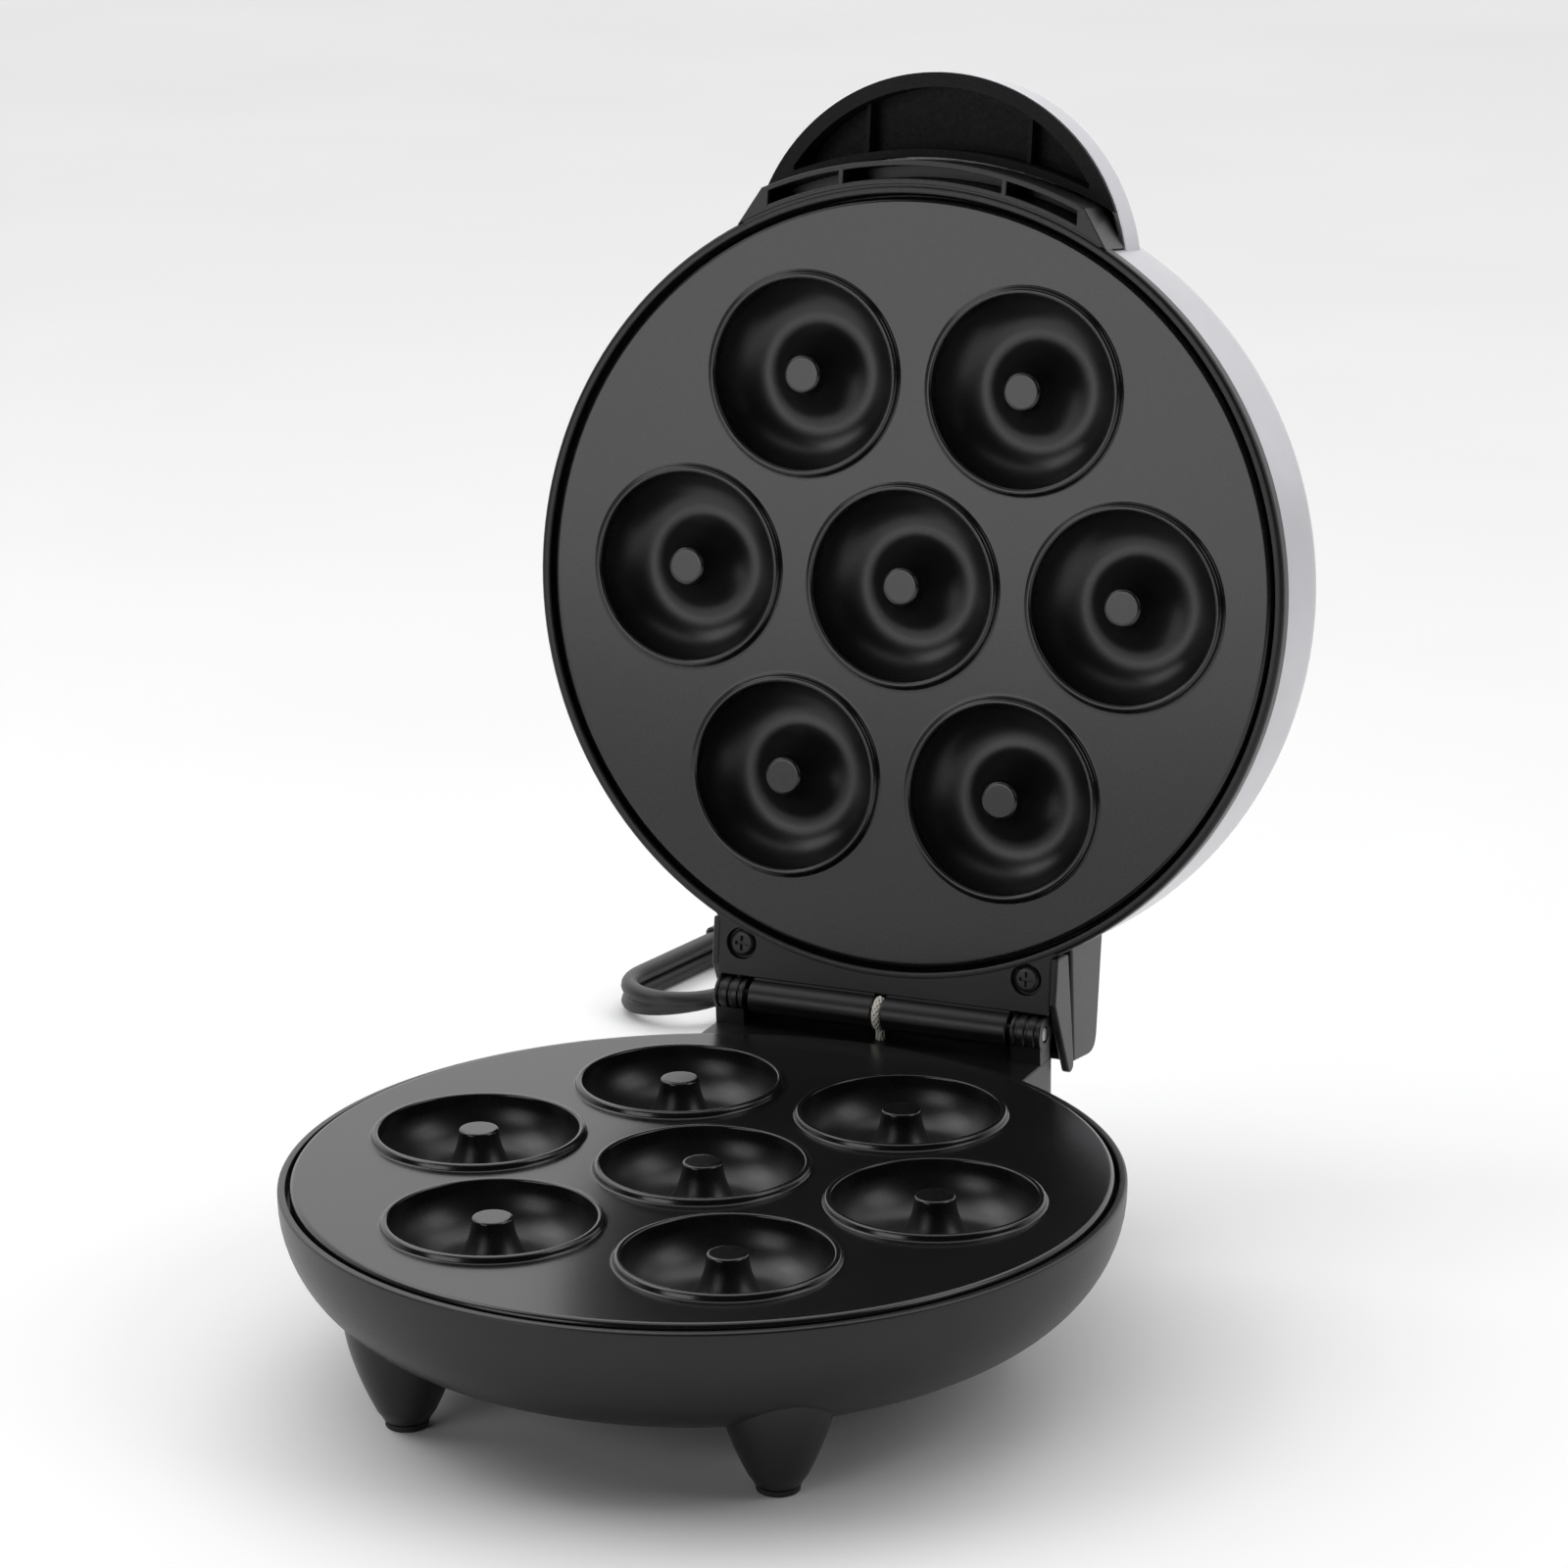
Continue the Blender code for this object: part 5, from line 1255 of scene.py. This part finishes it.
# ---- lid cover and handle
def dome(offset):
    """The cover's outline from its lower edge to its middle, moved outwards by offset."""
    centre = (COVER_RADIUS - COVER_SHOULDER, COVER_TOP - COVER_SHOULDER)
    bend = arc(centre, COVER_SHOULDER + offset, 0.0, math.pi / 2, 16)
    top = COVER_TOP + offset
    flat = [(centre[0] - 0.001, top), (0.0, top)]
    return [(COVER_RADIUS + offset, COVER_LOW)] + bend + flat


def circles_meet(radius, ring):
    """The y at which the handle's circle crosses a circle round the lid."""
    return (ring**2 + HANDLE_Y**2 - radius**2) / (2 * HANDLE_Y)


def crescent(radius, ring):
    """The half-moon between the handle's circle and a circle round the lid."""
    meet_y = circles_meet(radius, ring)
    swing = math.acos((HANDLE_Y - meet_y) / radius)
    turn = math.acos(-meet_y / ring)
    outline = arc((0, HANDLE_Y), radius, FRONT - swing, FRONT + swing, 60)
    return outline + arc((0, 0), ring, FRONT + turn, FRONT - turn, 60)[1:-1]


LAMPS = ("power_light", "ready_light")


def lamp_place(node):
    """Where a lamp stands on the closed lid."""
    low, high = (Vector(corner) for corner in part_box(node))
    closed = ON_LID.inverted() @ ((low + high) / 2)
    return (closed.x, closed.y)


def cover():
    holes = []
    for node in LAMPS:
        cut = (LAMP_RADIUS + GAP, COVER_TOP - 0.004, COVER_TOP + 0.002)
        holes.append(cylinder(*cut, MEDIUM, lamp_place(node)))
    return carved(lathe(dome(0.0) + dome(-COVER_WALL)[::-1]), *holes)


def handle_skin():
    """The silver cap over the black handle, rounded along its top edge."""
    outer = HANDLE_RADIUS + GAP + HANDLE_SKIN
    low = HANDLE_LOW + HANDLE_RIM
    cap = prism(crescent(outer, COVER_RADIUS - 0.0008), low, HANDLE_TOP + GAP + HANDLE_SKIN)
    inside = crescent(HANDLE_RADIUS + GAP, COVER_RADIUS + HANDLE_SKIN)
    room = prism(inside, HANDLE_LOW, HANDLE_TOP + GAP)
    return carved(cap, room, edge=0.0016, segments=5)


def handle():
    """The black scoop: a rim round a hollow, with two low ribs inside."""
    ring = BAND_RADIUS + 2 * GAP
    inside = HANDLE_RADIUS - HANDLE_WALL
    back = ring + HANDLE_WALL
    reach = math.sqrt(back**2 - circles_meet(inside, back) ** 2) - HANDLE_WALL / 2
    rib_top = HANDLE_LOW + HANDLE_RIB_DROP
    floor = HANDLE_TOP - HANDLE_WALL
    ends = [(*span, rib_top - GAP, floor) for span in between_ribs(reach, HANDLE_RIB / 2)]
    ends.append((-reach, reach, HANDLE_LOW - GAP, rib_top))
    pockets = [between_arcs(inside, back, *end, HANDLE_Y, 24) for end in ends]
    wide = crescent(HANDLE_RADIUS + GAP + HANDLE_SKIN, ring)
    flange = prism(wide, HANDLE_LOW, HANDLE_LOW + HANDLE_RIM - GAP)
    block = prism(crescent(HANDLE_RADIUS, ring), HANDLE_LOW, HANDLE_TOP)
    return carved(block, *pockets, joined=[flange])


def lamp(node):
    """A low domed lens with a flange under the cover."""
    flange = COVER_TOP - COVER_WALL - GAP
    profile = [(0.0, flange - COVER_WALL), (LAMP_RADIUS + COVER_WALL, flange - COVER_WALL)]
    profile += [(LAMP_RADIUS + COVER_WALL, flange), (LAMP_RADIUS, flange)]
    for k in range(7):
        turn = math.pi / 2 * k / 6
        profile.append((LAMP_RADIUS * math.cos(turn), COVER_TOP + LAMP_HEIGHT * math.sin(turn)))
    return lathe(profile, MEDIUM, lamp_place(node))


add("cover_dome", cover(), "lid", "silver_cover", "lid_cover")
add("handle_cap", handle_skin(), "lid", "silver_cover", "lid_cover")
scoop = add("handle_scoop", handle(), "lid", "black_housing", "handle", edge=0.0004)
scoop.data.materials[0] = surface(
    "textured_plastic", (0.0050, 0.0050, 0.0051), 0.62, grain=1300.0, relief=0.5, specular=0.22
)
add("power_lens", lamp("power_light"), "lid", "red_lens", "power_light")
add("ready_lens", lamp("ready_light"), "lid", "green_lens", "ready_light")


def rear_outline(inset, below):
    """Side view of the box over the hinge; below lowers its open edge."""
    back = REAR_COVER_BACK_Y - inset
    top = REAR_COVER_TOP - inset
    front_edge, back_edge = REAR_COVER_EDGES
    return rounded(
        [(REAR_COVER_FRONT_Y, front_edge - below, 0.0), (back, back_edge - below, 0.0),
         (back, top, 0.0060 - inset), (REAR_COVER_FRONT_Y, top, 0.0)],
        8,
    )


def rear_cover():
    inside = REAR_COVER_HALF_WIDTH - REAR_COVER_WALL
    clear = lathe([(0.0, FRAME_LOW), (COVER_RADIUS + GAP, FRAME_LOW)] + dome(GAP))
    return carved(
        sideways(rear_outline(0.0, 0.0), -REAR_COVER_HALF_WIDTH, REAR_COVER_HALF_WIDTH),
        sideways(rear_outline(REAR_COVER_WALL, 0.0060), -inside, inside),
        clear,
        edge=0.0009,
    )


add("hinge_hood", rear_cover(), "lid", "black_housing", "rear_cover")

# ---- carried-over pieces
for part in frame["record"]["subparts"]:
    piece = frame["nodes"][part["node"]]
    piece.data.materials.clear()
    piece.data.materials.append(FINISHES[part["material_slot"]])


# ---- floor and light
SKY_FRONT = 0.02
SKY_BACK = 1.15
SKY_BEHIND = (-0.404, 0.915, 0.0)  # level, away from the camera
BACKDROP = 0.95
OVERHEAD = (-0.14, 0.32, 0.94)  # direction of the overhead light
OVERHEAD_POWER = 1.35
OVERHEAD_ANGLE = math.radians(80.0)
SOFTBOXES = {  # place, size and power
    "front": ((-0.62, -1.45, 0.50), (0.85, 0.75), 4.9),
    "left": ((-1.00, -0.35, 1.15), (0.90, 0.70), 4.7),
    "right": ((1.25, 0.15, 0.95), (0.75, 1.00), 5.2),
}
AIM = ORIGIN + Vector((0.0, 0.0, 0.08))  # what the softboxes face


def floor():
    """A pale floor, wide enough to fill the view."""
    bm = bmesh.new()
    bmesh.ops.create_grid(bm, x_segments=4, y_segments=4, size=9.0)
    mesh = bpy.data.meshes.new("floor")
    bm.to_mesh(mesh)
    bm.free()
    made, tree, shader = node_tree("floor")
    drift = ramp(tree, noise(tree, 3.0), grey(0.90), grey(0.93))
    fill(shader, Base_Color=drift, Roughness=0.9, Specular_IOR_Level=0.1)
    mesh.materials.append(made)
    new_object("floor", mesh)


def softbox(name, place, size, power):
    """A square light that faces the donut maker."""
    data = bpy.data.lights.new(name, "AREA")
    data.shape = "RECTANGLE"
    data.size, data.size_y = size
    data.energy = power
    made = new_object(name, data)
    made.location = place
    made.rotation_euler = (AIM - Vector(place)).to_track_quat("-Z", "Y").to_euler()


def overhead():
    """A wide soft light from above and a little behind, which whitens the floor."""
    data = bpy.data.lights.new("overhead", "SUN")
    data.energy = OVERHEAD_POWER
    data.angle = OVERHEAD_ANGLE
    made = new_object("overhead", data)
    made.rotation_euler = Vector(OVERHEAD).to_track_quat("Z", "Y").to_euler()


def surroundings():
    """A white sky behind the donut maker, dimmer in front, and a plain backdrop to look at."""
    world = bpy.data.worlds.new("studio")
    bpy.context.scene.world = world
    world.use_nodes = True
    tree = world.node_tree
    place = add_node(tree, "TexCoord").outputs["Generated"]
    facing = add_node(tree, "VectorMath")
    facing.operation = "DOT_PRODUCT"
    facing.inputs[1].default_value = SKY_BEHIND
    tree.links.new(place, facing.inputs[0])
    amount = rescaled(tree, facing.outputs["Value"], -0.1, 0.5, SKY_FRONT, SKY_BACK)
    sky = tree.nodes["Background"]
    fill(sky, Color=(1.0, 1.0, 1.0, 1.0), Strength=amount)
    backdrop = add_node(tree, "Background", Color=(*grey(BACKDROP), 1.0))
    seen = add_node(tree, "LightPath").outputs["Is Camera Ray"]
    choice = add_node(tree, "MixShader", Fac=seen)
    tree.links.new(sky.outputs["Background"], choice.inputs[1])
    tree.links.new(backdrop.outputs["Background"], choice.inputs[2])
    fill(tree.nodes["World Output"], Surface=choice.outputs["Shader"])


def studio():
    surroundings()
    overhead()
    for name, setting in SOFTBOXES.items():
        softbox(name, *setting)
    bpy.context.scene.view_settings.view_transform = "Standard"


floor()
studio()
